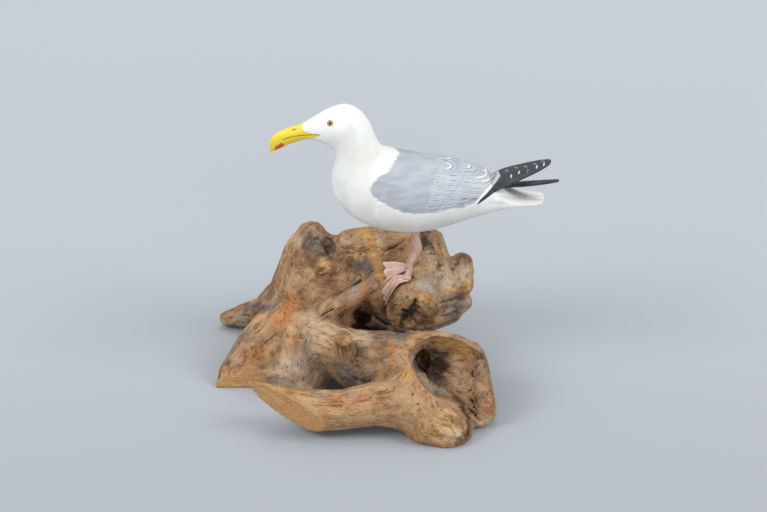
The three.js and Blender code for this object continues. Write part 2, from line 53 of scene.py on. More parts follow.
# Driftwood limbs: chains of balls, x, y, z and radius, each blended into the others over its blend
LIMBS = [
    ("horn", 7, [(-38.5, 44, 61, 9), (-43, 43, 53, 10.5), (-45, 38, 38.5, 12)]),
    ("back root", 7, [(-48, 40, 32, 12), (-64.5, 48.5, 12.5, 8.5), (-78, 52, 6.8, 6.4),
                      (-86, 52.5, 5.2, 4.4)]),
    ("left ramp", 7, [(-41.5, 36, 42.5, 14), (-48, 24, 28, 13), (-67, 3, 17.5, 11.5),
                      (-78.3, 0, 4.5, 8.5)]),
    ("left toe", 5, [(-82, -7, -0.5, 6.3), (-70, -7, -1.8, 5.5)]),
    ("skirt", 5, [(-67, -6, 3.5, 6), (-59, -4, 7, 6), (-51, -8, 6, 6), (-38.5, -15.5, 5, 6)]),
    ("middle ramp", 7, [(-36, 26, 33, 14), (-43, 10, 21, 13), (-47, -2, 12, 9), (-51, -8, 6.5, 5)]),
    ("right ramp", 7, [(-27.5, 18, 30.5, 12), (-32.5, 0, 21.5, 12), (-36.5, -12, 11, 9),
                       (-38.5, -18, 4.8, 5.2)]),
    ("saddle", 7, [(-35, 34, 39.5, 14), (-18, 32, 39, 14)]),
    ("trunk", 5, [(-27, 42, 54, 8.5), (-15, 42, 51.5, 14.5), (-1, 43.5, 52.5, 15), (14, 44, 52, 14.5)]),
    ("low trunk", 7, [(-35, 24, 39.5, 14), (-19, 24, 39.5, 13), (-6, 24, 35.5, 11)]),
    ("shelf", 5, [(-2, 22, 41.5, 9.5), (12, 21, 42, 11)]),
    ("back of the shelf", 6, [(-6, 33, 44, 10.5), (15, 32, 45, 10.5)]),
    ("column", 5, [(24.5, 45, 57, 8.5), (26, 34, 48.5, 11)]),
    ("stub", 4, [(22.5, 34, 45, 13), (18, 18, 42.5, 12.6), (15.4, 2, 41.9, 13.9)]),
    ("lobe", 5, [(28, 24, 43, 12), (37.8, 27, 43.5, 10), (40.2, 29, 49.5, 7.8), (41.5, 30, 53.5, 5.8)]),
    ("low lobe", 2.5, [(24, 18, 29.5, 9.5), (34, 24, 29.5, 9), (42, 28, 31, 5.5)]),
    ("flank", 4, [(-8, 18, 38, 6), (-1, 12, 33, 6.5), (6.5, 8, 28, 6)]),
    ("underside", 5, [(-18, 22, 24.5, 10), (1, 22, 20, 10), (10, 16, 20.5, 8)]),
    ("hidden root", 6, [(-2, 24, 30, 11), (6, 30, 15, 9), (12, 35, 3, 7)]),
    ("spur", 4, [(-28, 6, 38, 6), (-17, 3, 48.5, 4.6), (-5.4, -1, 59, 3.9)]),
    ("under the neck", 4, [(-16, -15, 13, 7.5), (-6, -18, 13.5, 10), (5, -24, 14, 12)]),
    ("neck", 7, [(-30, -4, 24, 12.5), (-16.5, -11, 22.2, 13.5), (2.5, -20, 24, 14.5)]),
    ("log", 8, [(4.5, -21, 24, 14), (15.5, -23.5, 23, 16), (29, -28, 22.5, 20.5), (42, -33, 20, 20.5)]),
    ("back of the log", 6, [(22, -18, 22, 15.5), (33, -20, 19.5, 17), (40, -20, 18.5, 15)]),
    ("log toe", 6, [(16, -40, 13.5, 17), (24, -47.5, 7.5, 15), (31.5, -49.5, 4.5, 14)]),
    ("log side", 5, [(42, -28, 23, 14), (47.5, -36, 10, 12)]),
    ("arm", 5, [(11, -44, 15, 13), (-4.5, -46, 15.5, 11), (-19.5, -48, 13.5, 10), (-34, -48.5, 13, 10.5),
                (-47, -49, 17.5, 9), (-64, -50, 24, 6)]),
    ("peg", 1.5, [(-19, -15, 17.5, 5), (-20.5, -29, 45, 4.5)]),
]

# A splinter that only the fine surface has
SPLINTERS = [("blade behind the spur", 1.0, [(-17, 8, 53, 2.0), (-12.5, 7, 57.5, 1.6)])]

# Hollows worn into the wood: chains of balls that are taken away
HOLLOWS = [
    ("bore of the log", 1.2, [(22.5, -33, 34, 9.5), (31, -32, 27, 17.4), (39.5, -33.5, 26, 16.6),
                              (43.5, -37, 24, 13.5)]),
    ("rot at its bottom", 1.2, [(24, -28, 29, 6.5), (17, -14, 20.5, 5.5)]),
    ("slot in the rim", 1.0, [(38, -42, 18, 6), (47, -50, 11.5, 5.5), (60, -55, 5, 10)]),
    ("cave under the stub", 1.0, [(-14.5, 1, 38, 4), (-9, 1, 36.2, 4), (-2.8, -1, 34, 2.4),
                                  (6, -4, 32.8, 1.6)]),
    ("depth of the cave", 1.0, [(-13, 3, 37, 3.8), (-10, 14, 31, 5.5)]),
    ("gap beside the spur", 1.0, [(-8, 6, 48, 3.2), (-3.5, 7, 46.5, 3.6)]),
    ("cleft by the horn", 0.6, [(-29.5, 38, 62, 2.4), (-28, 31, 56, 3)]),
]

# The mouth of the log is broken off along a slanting plane, and its side wall along another
LOG_CUTS = [
    ((24, -46, 25), (0.33, -0.52, 0.79), 1.5),
    ((51.5, -24, 29), (0.95, -0.03, 0.29), 3),
]
LOG_FROM_X = 6
LOG_TO_Y = -1
STANDING_WALL = [
    ("wall beside the crack", 2, [(49.5, -29.5, 27.5, 3.4), (49.8, -35, 19, 4.8), (51, -40, 9, 6),
                                  (50, -41, 4, 5)]),
]

# Sawn ends: where the cut is, the way it faces, its radius, how much is sawn off
# and how fresh the cut looks
SAWN_ENDS = [
    ((15.2, -3, 41.7), (-0.05, -0.97, -0.22), 15, 10, 0.0),
    ((-21, -28, 44.2), (0, -0.55, 0.83), 7, 8, 0.2),
    ((-52.5, -50.2, 19.5), (-0.41, -0.89, -0.2), 28, 16, 1.0),
    ((-78, -8.6, 2), (0, -1, 0), 17, 8, 1.0),
]
SAW_SOFT = 0.5

# Fine surface of the driftwood
WOOD_LOW = (-93, -66, -1.7)
WOOD_HIGH = (58, 64, 74)
WOOD_CELL = 0.82
COARSE_STEPS = 4
GRAIN_STRETCH = 0.07
GRAIN_BLEND = 1.6
# How far out the wood is probed for the painted shade in its hollows
SHADE_REACHES = (2.0, 5.0, 10.0)

# Folds and grooves of the wood, drawn over it in picture points: width and height
# in millimetres, then the line
FOLDS = [
    ("roll under the horn", 3.2, 1.7, [(303, 268), (308, 259), (317, 254), (325, 257), (329, 266),
                                       (327, 274)]),
    ("pocket in the roll", 2.0, -2.4, [(320, 270), (321.5, 273.5)]),
    ("recess by the horn", 3.2, -3.0, [(330, 240), (331, 246), (328, 251)]),
    ("lower knot", 3.6, 1.5, [(324, 279), (329, 284), (333, 279)]),
    ("saddle groove", 2.2, -1.3, [(339, 262), (336, 272), (332, 284), (322, 297), (312, 307)]),
    ("saddle rib", 2.6, 1.0, [(347, 260), (343, 274), (337, 287), (327, 300)]),
    ("saddle pit", 2.4, -1.3, [(349, 271), (352, 275)]),
    ("pale knob", 2.0, 1.4, [(356, 254.5), (358, 256)]),
    ("pocket by the knob", 1.3, -1.5, [(352, 256), (351, 259)]),
    ("pocket above the knob", 1.3, -1.2, [(342, 253), (345, 250.5)]),
    ("fan rib 1", 1.3, 0.9, [(357, 229), (364, 244), (371, 258), (376, 271)]),
    ("fan rib 2", 1.2, 0.9, [(363, 229), (369, 243), (375, 258), (379, 270)]),
    ("fan rib 3", 1.2, 0.8, [(370, 230), (374, 243), (378, 258)]),
    ("fan rib 4", 1.2, 0.8, [(377, 232), (380, 245), (382, 256)]),
    ("fan gap", 1.0, -1.0, [(360, 238), (366, 250), (371, 262)]),
    ("trunk hollow", 3.0, -1.2, [(345, 238), (350, 243), (353, 249)]),
    ("trunk dent", 3.0, -1.0, [(393, 252), (402, 250), (409, 251)]),
    ("bark edge", 1.2, -1.5, [(430, 232), (430.5, 242), (429.5, 250)]),
    ("ridge by the column", 3.2, 2.0, [(418, 254), (425, 257), (432, 259), (437, 263), (439, 268)]),
    ("hook round the ridge", 1.5, -2.2, [(431, 253.5), (436, 252), (440.5, 257), (440.5, 264),
                                         (438.5, 269)]),
    ("notch of the lobe", 1.8, -2.0, [(455, 263), (456.5, 257.5), (461, 254.5), (466, 254.5)]),
    ("furrow on the shelf", 1.2, -0.5, [(441, 282), (447, 285), (454, 285)]),
    ("groove on the stub 1", 0.9, -0.6, [(407, 291), (414, 286), (423, 286), (431, 291), (434, 297)]),
    ("groove on the stub 2", 0.9, -0.6, [(404, 296), (411, 290), (419, 289), (428, 293), (432, 299)]),
    ("lump on the face", 3.0, 1.2, [(401, 306), (402, 314)]),
    ("lump on the face 2", 3.4, 1.2, [(424, 300), (429, 306), (428, 316)]),
    ("lump under the face", 3.0, 1.2, [(408, 326), (417, 327)]),
    ("horn ridge", 2.6, 1.2, [(308, 224), (314, 230), (320, 237), (321, 246)]),
    ("horn fold", 1.8, -1.3, [(312, 232), (311, 240), (314, 247)]),
    ("horn notch", 1.8, -1.0, [(299, 232), (301, 240), (297, 247)]),
    ("ramp hollow", 3.2, -1.0, [(300, 340), (303, 356), (301, 376)]),
    ("ramp ridge", 3.2, 0.9, [(311, 330), (312, 350), (310, 378)]),
    ("left ramp hollow", 3.6, -1.0, [(272, 342), (262, 355), (252, 370)]),
    ("left ramp ridge", 3.4, 0.9, [(284, 338), (274, 352), (264, 372)]),
    ("gnarl on the foot", 1.8, 1.1, [(220, 374), (223, 369), (228, 366)]),
    ("gnarl on the foot 2", 1.3, -1.0, [(222, 377), (226, 372), (232, 370)]),
    ("root wrinkle", 1.6, -1.0, [(243, 306), (246, 313), (245, 319)]),
    ("root hollow", 2.4, -1.2, [(262, 308), (266, 314), (262, 321)]),
    ("arm groove", 1.0, -0.5, [(262, 386), (280, 399), (296, 410), (303, 417)]),
    ("arm groove 2", 0.9, -0.4, [(270, 383), (290, 395), (307, 406)]),
    ("neck furrow", 2.0, -0.9, [(362, 338), (376, 339), (392, 343)]),
    ("neck hollow", 3.0, -1.2, [(352, 366), (362, 362), (372, 366)]),
    ("rim groove", 0.9, -0.8, [(417, 383), (424, 391), (433, 396), (441, 399)]),
    ("ledge in the mouth", 2.0, 1.0, [(441, 362), (452, 364), (463, 368)]),
    ("groove in the mouth", 1.6, -1.4, [(440, 370), (452, 376), (463, 384), (470, 388)]),
    ("groove in the mouth 2", 1.4, -1.0, [(446, 349), (455, 353), (466, 360)]),
    ("groove in the wall", 1.2, -0.9, [(480, 372), (483, 384), (482, 398)]),
    ("groove in the notch", 1.4, -1.4, [(462, 402), (470, 412), (477, 420)]),
    ("low lobe rib", 1.8, 0.9, [(442, 312), (452, 310), (462, 304)]),
    ("low lobe furrow", 1.6, -1.2, [(440, 318), (450, 317), (460, 311)]),
]

# Cracks, drawn in the same way: width and depth in millimetres, then the line
CRACKS = [
    ("under the lobe", 1.3, 2.2, [(436, 305), (443, 302.5), (450, 301.5), (457, 300), (464, 296.5),
                                  (473, 292)]),
    ("round the bore", 1.0, 1.6, [(423, 346), (421, 353), (416, 359), (420, 366), (427, 372), (431, 379)]),
    ("right wall", 1.3, 2.0, [(480, 361), (475, 367), (472.5, 376), (473.5, 388), (471.5, 400), (475, 411),
                              (480, 419)]),
    ("right wall branch", 0.8, 1.2, [(473, 388), (467, 391), (461, 391), (455, 389)]),
    ("stub, up", 1.0, 1.8, [(411, 310), (414, 306), (416, 301), (414.5, 297)]),
    ("stub, down", 1.2, 1.8, [(409, 314), (405, 318), (402.5, 321), (401, 326)]),
    ("stub, left", 1.0, 1.2, [(408, 312), (405, 310), (401, 307)]),
    ("stub, right", 0.7, 1.0, [(413, 312), (420, 314), (427, 319)]),
    ("stub, lower right", 0.7, 1.0, [(411, 314), (415, 320), (421, 326)]),
    ("under the stub", 1.4, 1.6, [(413, 329), (420, 330), (427, 328.5)]),
    ("back of the feet", 0.8, 1.2, [(384, 252), (390, 248.5), (397, 245), (402, 241), (407, 238)]),
    ("under the spur", 1.0, 1.2, [(318, 316), (326, 312), (336, 308)]),
    ("toe", 1.0, 1.6, [(464, 403), (471, 411), (477, 418), (482, 421)]),
    ("edge of the flank", 1.4, 1.8, [(363, 304), (371, 313), (381, 322), (392, 327)]),
]
WORM_HOLES = [
    (413.5, 394, 0.7), (418.5, 404, 0.6), (346, 310, 0.5), (436, 270, 0.4), (452, 269, 0.7),
    (430, 293, 0.6), (366, 347, 0.5), (351, 363, 0.5), (356, 381, 0.8), (331, 276, 0.5),
    (447, 307, 0.4), (360, 254, 0.5), (272, 352, 0.3), (470, 286, 0.4), (455, 283, 0.4),
    (399, 372, 0.35), (232, 319, 0.4), (247, 316, 0.5),
]

# Wood colours, red, green and blue out of 255
TONES = {
    "tan": (184, 147, 108),
    "pale": (214, 192, 162),
    "ash": (186, 176, 162),
    "gold": (216, 168, 104),
    "orange": (196, 132, 80),
    "brown": (130, 94, 64),
    "slate": (118, 110, 106),
    # dark and black also serve as painted shade where zones and bands lay them in hollows and gaps
    "dark": (76, 60, 48),
    "black": (20, 15, 12),
}

# Where the colours lie, in picture points: place, reach in millimetres, colour and strength
ZONES = [
    (286, 250, 7, "gold", 0.6), (283, 268, 7, "tan", 0.8), (306, 231, 5, "brown", 0.7),
    (316, 243, 7, "slate", 0.8), (322, 255, 4, "dark", 0.7), (326, 266, 4, "gold", 0.8),
    (308, 262, 6, "brown", 0.7), (300, 275, 6, "tan", 0.7), (338, 252, 7, "brown", 0.8),
    (352, 266, 5, "dark", 0.6), (366, 267, 5, "slate", 0.9), (350, 238, 6, "tan", 0.6),
    (372, 272, 4, "slate", 0.7), (395, 251, 6, "brown", 0.8), (397, 240, 5, "tan", 0.7),
    (410, 240, 5, "orange", 0.6), (444, 240, 8, "tan", 0.8), (440, 250, 5, "gold", 0.4),
    (330, 286, 6, "brown", 0.8), (343, 296, 6, "brown", 0.6), (320, 280, 5, "brown", 0.7),
    (352, 282, 6, "slate", 0.5), (316, 300, 6, "tan", 0.6), (292, 303, 6, "orange", 0.9),
    (284, 320, 7, "orange", 0.8), (270, 340, 6, "tan", 0.6), (257, 354, 7, "orange", 0.9),
    (247, 366, 6, "orange", 0.7), (296, 338, 3.5, "orange", 0.7), (302, 350, 5, "slate", 0.6),
    (297, 366, 6, "ash", 0.7), (318, 332, 9, "pale", 0.6), (309, 318, 6, "pale", 0.5),
    (282, 372, 8, "pale", 0.5), (330, 350, 6, "tan", 0.6), (235, 382, 6, "gold", 0.6),
    (264, 309, 4, "slate", 0.7), (240, 321, 5, "ash", 0.5), (228, 317, 4, "orange", 0.5),
    (354, 291, 4, "ash", 0.5), (370, 283, 4, "slate", 0.5), (395, 328, 6, "tan", 0.5),
    (452, 276, 8, "pale", 0.6), (428, 284, 7, "ash", 0.8), (437, 278, 6, "ash", 0.5),
    (470, 284, 5, "gold", 0.6), (474, 268, 4, "tan", 0.7), (452, 316, 8, "slate", 0.9),
    (462, 308, 5, "slate", 0.8), (400, 331, 6, "slate", 0.9), (380, 338, 6, "slate", 0.6),
    (400, 352, 7, "tan", 0.9), (408, 372, 5, "gold", 0.8), (392, 372, 6, "brown", 0.4),
    (384, 352, 5, "brown", 0.5), (415, 400, 8, "tan", 0.7), (447, 431, 9, "gold", 0.7),
    (470, 350, 6, "tan", 0.7), (452, 340, 4, "gold", 0.6), (484, 388, 5, "tan", 0.9),
    (486, 412, 4, "orange", 0.6), (460, 422, 5, "brown", 0.6), (350, 348, 7, "tan", 0.5),
    (350, 374, 7, "slate", 0.9), (366, 378, 6, "slate", 0.8), (338, 366, 5, "slate", 0.7),
    (362, 358, 5, "slate", 0.4), (385, 401, 8, "tan", 0.6), (300, 414, 8, "gold", 0.7),
    (276, 398, 8, "gold", 0.8), (345, 345, 4, "gold", 0.6), (342, 334, 3, "tan", 0.8),
    (395, 306, 4, "gold", 0.7), (400, 322, 4, "gold", 0.7), (424, 298, 5, "gold", 0.8),
    (434, 310, 4, "brown", 0.6), (422, 319, 5, "brown", 0.8), (409, 312, 4.6, "black", 1.0),
    # Painted shade: the black and dark zones in and at the mouth of the log's bore, in the cave under the
    # stub and in the recess by the horn
    (430, 360, 9, "black", 0.97), (438, 374, 6, "dark", 0.95), (362, 317, 6, "black", 0.95),
    (330, 246, 3, "dark", 0.9), (425, 350, 4, "dark", 0.8), (462, 352, 6, "gold", 0.9),
    (446, 342, 5, "gold", 0.8), (470, 368, 6, "tan", 0.9), (378, 245, 5, "pale", 0.8),
    (446, 288, 6, "pale", 0.9), (466, 276, 6, "pale", 0.8), (462, 246, 4, "pale", 0.6),
    (424, 288, 4, "ash", 0.9), (355, 290, 4, "ash", 0.7), (380, 325, 4, "slate", 0.7),
    (455, 436, 6, "pale", 0.8), (338, 344, 3.5, "brown", 0.9), (348, 348, 3.5, "brown", 0.8),
    # Painted shade: the dark zones beside the stub's face and under the feet
    (392, 306, 5, "dark", 0.8), (257, 330, 6, "tan", 0.9), (245, 345, 5, "tan", 0.7),
    (342, 333, 3, "slate", 0.6), (290, 250, 6, "brown", 0.4), (385, 310, 4, "dark", 0.8),
    (445, 245, 5, "tan", 0.8), (400, 337, 5, "slate", 0.7), (418, 308, 3, "brown", 0.7),
]

# Longer bands of colour: reach, colour, strength and the line in picture points
BANDS = [
    (2.4, "ash", 0.9, [(411, 356), (415, 366), (421, 377), (433, 388), (448, 394)]),
    (2.6, "brown", 0.9, [(456, 398), (463, 408), (468, 420), (468, 434), (458, 444)]),
    (1.4, "dark", 0.9, [(462, 408), (468, 420), (468, 434)]),
    # Painted shade: the dark and black bands round the ridge's hook, in the bark recess under the belly, in
    # the gap where the neck meets the flank and under the flank's edge
    (1.6, "dark", 0.9, [(431, 253.5), (436, 252), (440.5, 257), (440.5, 264), (438.5, 269)]),
    (2.8, "dark", 0.9, [(423, 231), (424, 243), (423, 251)]),
    (2.0, "black", 0.9, [(354, 326), (368, 328), (386, 330), (402, 332)]),
    (3.0, "dark", 0.8, [(365, 302), (374, 313), (387, 322)]),
    (3.6, "gold", 0.9, [(363, 229), (371, 245), (377, 260), (379, 274)]),
    (2.0, "gold", 0.8, [(355, 254), (359, 257)]),
    (1.6, "gold", 0.6, [(442, 291), (455, 289), (468, 284)]),
    (2.0, "ash", 0.6, [(262, 382), (288, 384), (308, 388)]),
    (2.2, "dark", 0.8, [(218, 377), (222, 369), (229, 363)]),
    # Painted shade: the dark and black bands in the recess by the horn, the pocket in the roll and the
    # notch of the lobe
    (1.8, "dark", 0.9, [(330, 239), (331, 247), (328, 252)]),
    (1.6, "black", 0.8, [(320, 270), (322, 274)]),
    (1.5, "dark", 0.9, [(456, 264), (457, 257), (462, 254)]),
    (2.5, "slate", 0.8, [(250, 306), (262, 307), (274, 306)]),
    (1.5, "orange", 0.6, [(391, 345), (392, 356), (394, 368)]),
    (1.6, "dark", 0.8, [(411, 313), (414, 306), (416, 299)]),
    (1.6, "dark", 0.8, [(408, 314), (404, 320), (401, 327)]),
    (2.5, "brown", 0.7, [(428, 303), (433, 312), (430, 322)]),
]

# Where the wood is rough or rotten, in picture points: place, reach and height of its lumps in millimetres
ROUGH = [
    (352, 262, 14, 1.1), (380, 246, 10, 0.9), (340, 285, 9, 0.8), (316, 246, 7, 0.8), (366, 318, 9, 1.6),
    (352, 376, 9, 1.0), (455, 316, 8, 0.8), (452, 434, 10, 0.9), (432, 368, 8, 1.1), (468, 410, 8, 1.2),
    (415, 312, 9, 0.8), (430, 246, 6, 0.9), (486, 405, 6, 0.8),
]
SMOOTH_LUMPS = 0.3

# The wood's own play of colours: colour, size of its patches, seed, where it begins and strength
PLAY = [
    ("pale", 17, 11, -0.1, 0.6),
    ("brown", 14, 21, 0.0, 0.75),
    ("orange", 15, 31, 0.2, 0.65),
    ("slate", 13, 41, 0.25, 0.65),
]

# Gull: the body's sections from the bill's tip to the tail's end.
# Each is x, z, tilt of its long axis in degrees, half depth and half width.
SECTIONS = np.array([
    (-57.2, 127.6, 113, 0.6, 0.4),
    (-56.3, 129.4, 124, 2.2, 1.3),
    (-54.4, 131.8, 124, 3.6, 2.0),
    (-50.8, 134.2, 125, 4.1, 2.6),
    (-46.0, 136.3, 124, 4.2, 3.1),
    (-41.6, 137.6, 123, 4.4, 3.8),
    (-38.0, 138.5, 118, 4.8, 5.0),
    (-34.4, 139.3, 109, 6.1, 6.6),
    (-30.4, 139.9, 99, 8.2, 8.3),
    (-26.0, 140.4, 89, 10.7, 9.8),
    (-21.5, 139.6, 79, 13.3, 10.8),
    (-18.4, 135.4, 66, 15.7, 11.4),
    (-16.6, 129.5, 56, 16.7, 12.6),
    (-15.2, 122.5, 50, 17.2, 14.8),
    (-12.8, 115.8, 49, 17.9, 17.6),
    (-6.8, 110.4, 55, 20.0, 20.3),
    (2.0, 106.4, 62, 21.3, 21.7),
    (12.7, 103.8, 68, 21.2, 22.2),
    (24.5, 103.2, 73, 19.9, 21.3),
    (35.8, 103.8, 78.5, 16.8, 18.9),
    (45.8, 104.4, 83, 13.2, 15.6),
    (53.0, 104.6, 86, 10.2, 13.0),
    (58.4, 102.9, 88, 6.4, 11.2),
    (63.4, 101.2, 90, 3.0, 9.8),
    (69.0, 100.4, 91, 1.6, 8.7),
    (75.5, 100.0, 92, 1.1, 7.6),
    (82.1, 99.6, 92, 0.8, 6.5),
])
# The tail's sections grow squarer than ovals, and its near corner is cut away
TAIL_FROM = (40, 65)
TAIL_POWER = 0.6
NIP_FROM = (74, 82)
TAIL_NIP = 3.8
BODY_MIDDLE_Y = 16
BODY_RINGS = 430
BODY_SIDES = 176
WING_RISE = 0.9
WING_EDGE_SOFT = 2.2
WING_OUTLINE = [
    (3, 118), (-3, 108), (-4, 99), (2, 91), (13, 86.5), (26, 87), (40, 91.5), (54, 96), (62, 108),
    (44, 116), (20, 122),
]

# Wing tips, which cross over the tail: x, y, z, half width and half thickness along each, and its lean
WING_TIPS = {
    "left": (30, np.array([
        (48, 9, 109, 5, 1.9), (59.5, 10.7, 113.9, 6, 1.6), (69.5, 15.2, 115.7, 4.9, 1.3),
        (78.5, 18.8, 117.2, 3.5, 1.0), (84, 21, 118.2, 1.9, 0.8), (85.4, 21.6, 118.6, 0.5, 0.5),
    ])),
    "right": (-24, np.array([
        (50, 24, 101, 5, 1.8), (61.5, 20.5, 105.2, 5, 1.4), (72.5, 16.6, 108.2, 4.6, 1.5),
        (82, 12.8, 111.2, 3.2, 1.2), (87.6, 10.8, 113.0, 1.6, 0.8), (88.8, 10.4, 113.4, 0.5, 0.4),
    ])),
}
TIP_RINGS = 110
TIP_SIDES = 56

# Paint of the gull, in picture points seen from its own side
BILL = [
    (306, 119), (301, 126.6), (304, 130.5), (311, 133.6), (322, 135), (316, 137.2), (308, 138.4),
    (300, 140), (292, 146), (280, 166), (255, 165), (255, 118), (285, 112),
]
BILL_LINE = [
    (283, 140.4), (287, 138.6), (291, 137.4), (298, 136.2), (306, 135.3), (313, 135), (319, 135.3),
]
NOSTRIL = [(292.2, 129.9), (295.6, 129.2)]
BILL_SPOT = [(276.8, 148.2), (281.6, 145.2)]
EYE = (330.2, 123.2)
MANTLE = [
    (397, 140), (397, 149), (399, 154), (392.5, 163), (388.5, 171), (380, 176), (373.5, 182),
    (370, 190), (373, 197), (380, 201.5), (388, 206.5), (399, 211), (412, 213.8), (424, 214.2),
    (436, 212.5), (449, 210.3), (462, 208), (475, 205), (483.5, 193.5), (491.7, 185), (497, 177),
    (497.5, 170), (490, 160), (470, 140),
]
BLACK_EDGE = [
    (497.4, 158), (497.6, 169.6), (500.6, 175.8), (496.7, 181.7), (491.7, 187.5), (486.7, 193.3),
    (480, 200), (476.4, 205), (480.4, 202.8), (486.7, 198.3), (493.3, 193.3), (500, 189.4),
    (506.7, 187.3), (515, 187.6), (530, 189), (545, 184), (545, 150),
]
ALL_BLACK_FROM = 503
# Painted shade: cream-grey lines where the tail's top turns into its edge and underside
TAIL_SHADE_LINES = [
    [(510, 190.4), (522, 191.2), (533, 193.2), (543.5, 195.2)],
    [(498, 196.4), (512, 197), (528, 198.6), (543, 199.4)],
    [(490, 203), (508, 203.4), (528, 203), (540, 203.4)],
]
FEATHER_LINES = [
    [(438, 158.8), (446.5, 161), (452, 164.2), (453.4, 167), (449.5, 169.4), (441, 170.2)],
    [(464, 163), (469.5, 163.8), (472.2, 166.8), (469, 168.9), (462, 168)],
    [(463.5, 160.9), (471.7, 163.2), (477, 167), (477.6, 169.6), (474, 172), (464, 171.6)],
    [(478.4, 166), (485.4, 168.8), (488.6, 172.6), (486.8, 176.6), (480, 179.2), (466, 177.8)],
    [(484, 166.6), (492.4, 169.8), (495.8, 173.6), (493.6, 178.6), (487, 182.6), (476, 182.4)],
    [(438.5, 173.2), (448, 175), (461.4, 175.8)],
    [(437, 176.6), (448, 179.6), (460, 181.4)],
    [(435.4, 181.8), (446, 185), (458.6, 187)],
    [(431.7, 188), (443.3, 190.6), (454.6, 190.8)],
    [(432.6, 194.6), (441.7, 195.8), (449.2, 195)],
    [(430.8, 201.2), (438.3, 200.6), (444, 199.4)],
    [(427.5, 206.8), (435, 206.2), (440.6, 205.6)],
    [(463.4, 181.8), (474, 183.2), (484, 184.4)],
    [(461, 186.2), (474, 188.4), (485, 188.8)],
    [(457.4, 191), (470, 193.8), (481, 193.4)],
    [(452, 193.4), (464, 198.4), (476, 198)],
    [(446, 199.4), (460, 200), (474, 199.6), (480, 197.6)],
    [(441.8, 205), (456, 204), (470, 201.8), (478, 198.6)],
    [(441, 209), (452, 207.4), (464, 205)],
]
FEATHER_JOINS = [
    [(461.6, 172.4), (463.2, 175.4), (460.4, 181.2), (457.4, 187)],
    [(456.6, 187.6), (454.4, 191), (449.6, 195.2), (444.6, 199.6)],
    [(443.4, 200), (441.6, 205), (438.4, 209), (433.4, 212.2)],
]
PALE_LINES = [
    [(446.5, 162.6), (451, 165), (451.4, 166.6), (447.5, 168.4)],
    [(480, 168.2), (485.4, 171), (486.6, 173.4), (484, 176.4), (476, 177.6)],
    [(487, 170.2), (491.6, 173), (492.2, 175.6), (489.6, 179), (483, 181.6)],
    [(468, 164.8), (470.2, 166.4), (468, 167.6)],
]
EDGE_LINE = [
    (497, 168.4), (498.9, 174.6), (494.2, 182.6), (488.2, 189.8), (482.4, 195.8), (475.6, 203.8),
    (466, 207.6),
]
TIP_STROKES = [
    [(511.2, 174.6), (511, 177.4)], [(519.4, 171.4), (518.5, 173.6)], [(537.2, 165.8), (536.5, 168)],
    [(544.2, 163.4), (543.7, 165.4)],
]
DIM_STROKES = [
    [(505.2, 170), (508.2, 171)], [(514.6, 167.2), (517.6, 167.8)], [(524, 166.4), (527, 166.7)],
    [(533.4, 163.4), (536, 164.2)], [(541.8, 161), (544.4, 161.6)], [(527.8, 169.6), (527.3, 172.4)],
]

# Low relief of the body: which painted form, its height, and where it starts and ends
BODY_RELIEF = [
    ("bill_line", -0.22, 0.2, 1.2), ("eye", 0.35, 1.6, 3.6), ("nostril", -0.25, 0.2, 1.2),
    ("feather", -0.1, 0.2, 1.2), ("crease_shade", -0.12, 0.2, 1.4),
]

# Painted forms: where each has faded out and where it is full, its strength and its colour
QUILL_EDGES = [("feather", 3.0, 0.9, 0.4, (205, 210, 215)), ("join", 0.9, 0.3, 0.3, (126, 134, 146))]
WING_EDGES = [
    ("pale_line", 0.9, 0.3, 0.8, (236, 238, 238)), ("edge_line", 1.5, 0.8, 1.0, (238, 239, 236)),
    # The tail's crease line is painted shade where the tail turns
    ("crease_shade", 1.2, 0.3, 0.3, (196, 192, 176)),
]
STROKES_BILL_EYE = [
    ("dim_stroke", 0.9, 0.4, 0.35, (170, 172, 172)), ("stroke", 0.8, 0.4, 0.9, (222, 225, 226)),
    ("bill", -0.3, 0.3, 1.0, (243, 213, 60)), ("bill_line", 0.75, 0.3, 0.75, (128, 112, 34)),
    ("nostril", 0.9, 0.5, 1.0, (208, 96, 36)), ("bill_spot", 2.4, 2.0, 1.0, (224, 92, 40)),
    ("eye", 3.2, 2.9, 1.0, (92, 74, 30)), ("eye", 2.7, 2.4, 1.0, (190, 162, 66)),
    ("eye", 1.6, 1.3, 1.0, (24, 16, 12)),
]

# Legs: the shank's line from the belly to the heel, then the web's two edges from heel to toe tips
LEGS = {
    "left_leg": (
        [(14.6, 9, 88), (17.6, 9, 75.3), (14.4, 8.6, 66), (12.4, 8.6, 57.4)],
        [(13.6, 10.4, 56), (6, 12.2, 55.2), (-1, 12.6, 46)],
        [(13.2, 7, 56), (7, 5, 54.6), (0.8, 3, 43.5)],
    ),
    "right_leg": (
        [(15.2, 23.4, 88), (16.8, 23.2, 76), (14.9, 22.6, 64), (13, 22, 56.5)],
        [(13.4, 23.6, 55.4), (7, 26, 55.6), (-0.5, 26.2, 55.4)],
        [(13, 20.2, 55.2), (7, 16.6, 54), (0.8, 14, 51)],
    ),
}
SHANK_RADII = (1.8, 1.4)
SHANK_GIRTH = np.array([(0.8,), (0.95,), (1.25,), (1.0,), (0.72,), (0.8,), (1.0,)])
FOOT_THICKNESS = 1.1
FOOT_CLEARANCE = 0.15
PROBE_ABOVE = 14
PROBE_REACH = 40
WEB_SCALLOP = 1.2
HEEL_RADIUS = 2.0
PIN_FOOT = (15, 12.6, 54.6)
PIN_LEAN = (0.1, -0.35, 0.93)
FOOT_RINGS = 60
FOOT_SPAN = 49
SHANK_RINGS = 60
SHANK_SIDES = 28
HEEL_RINGS = 16

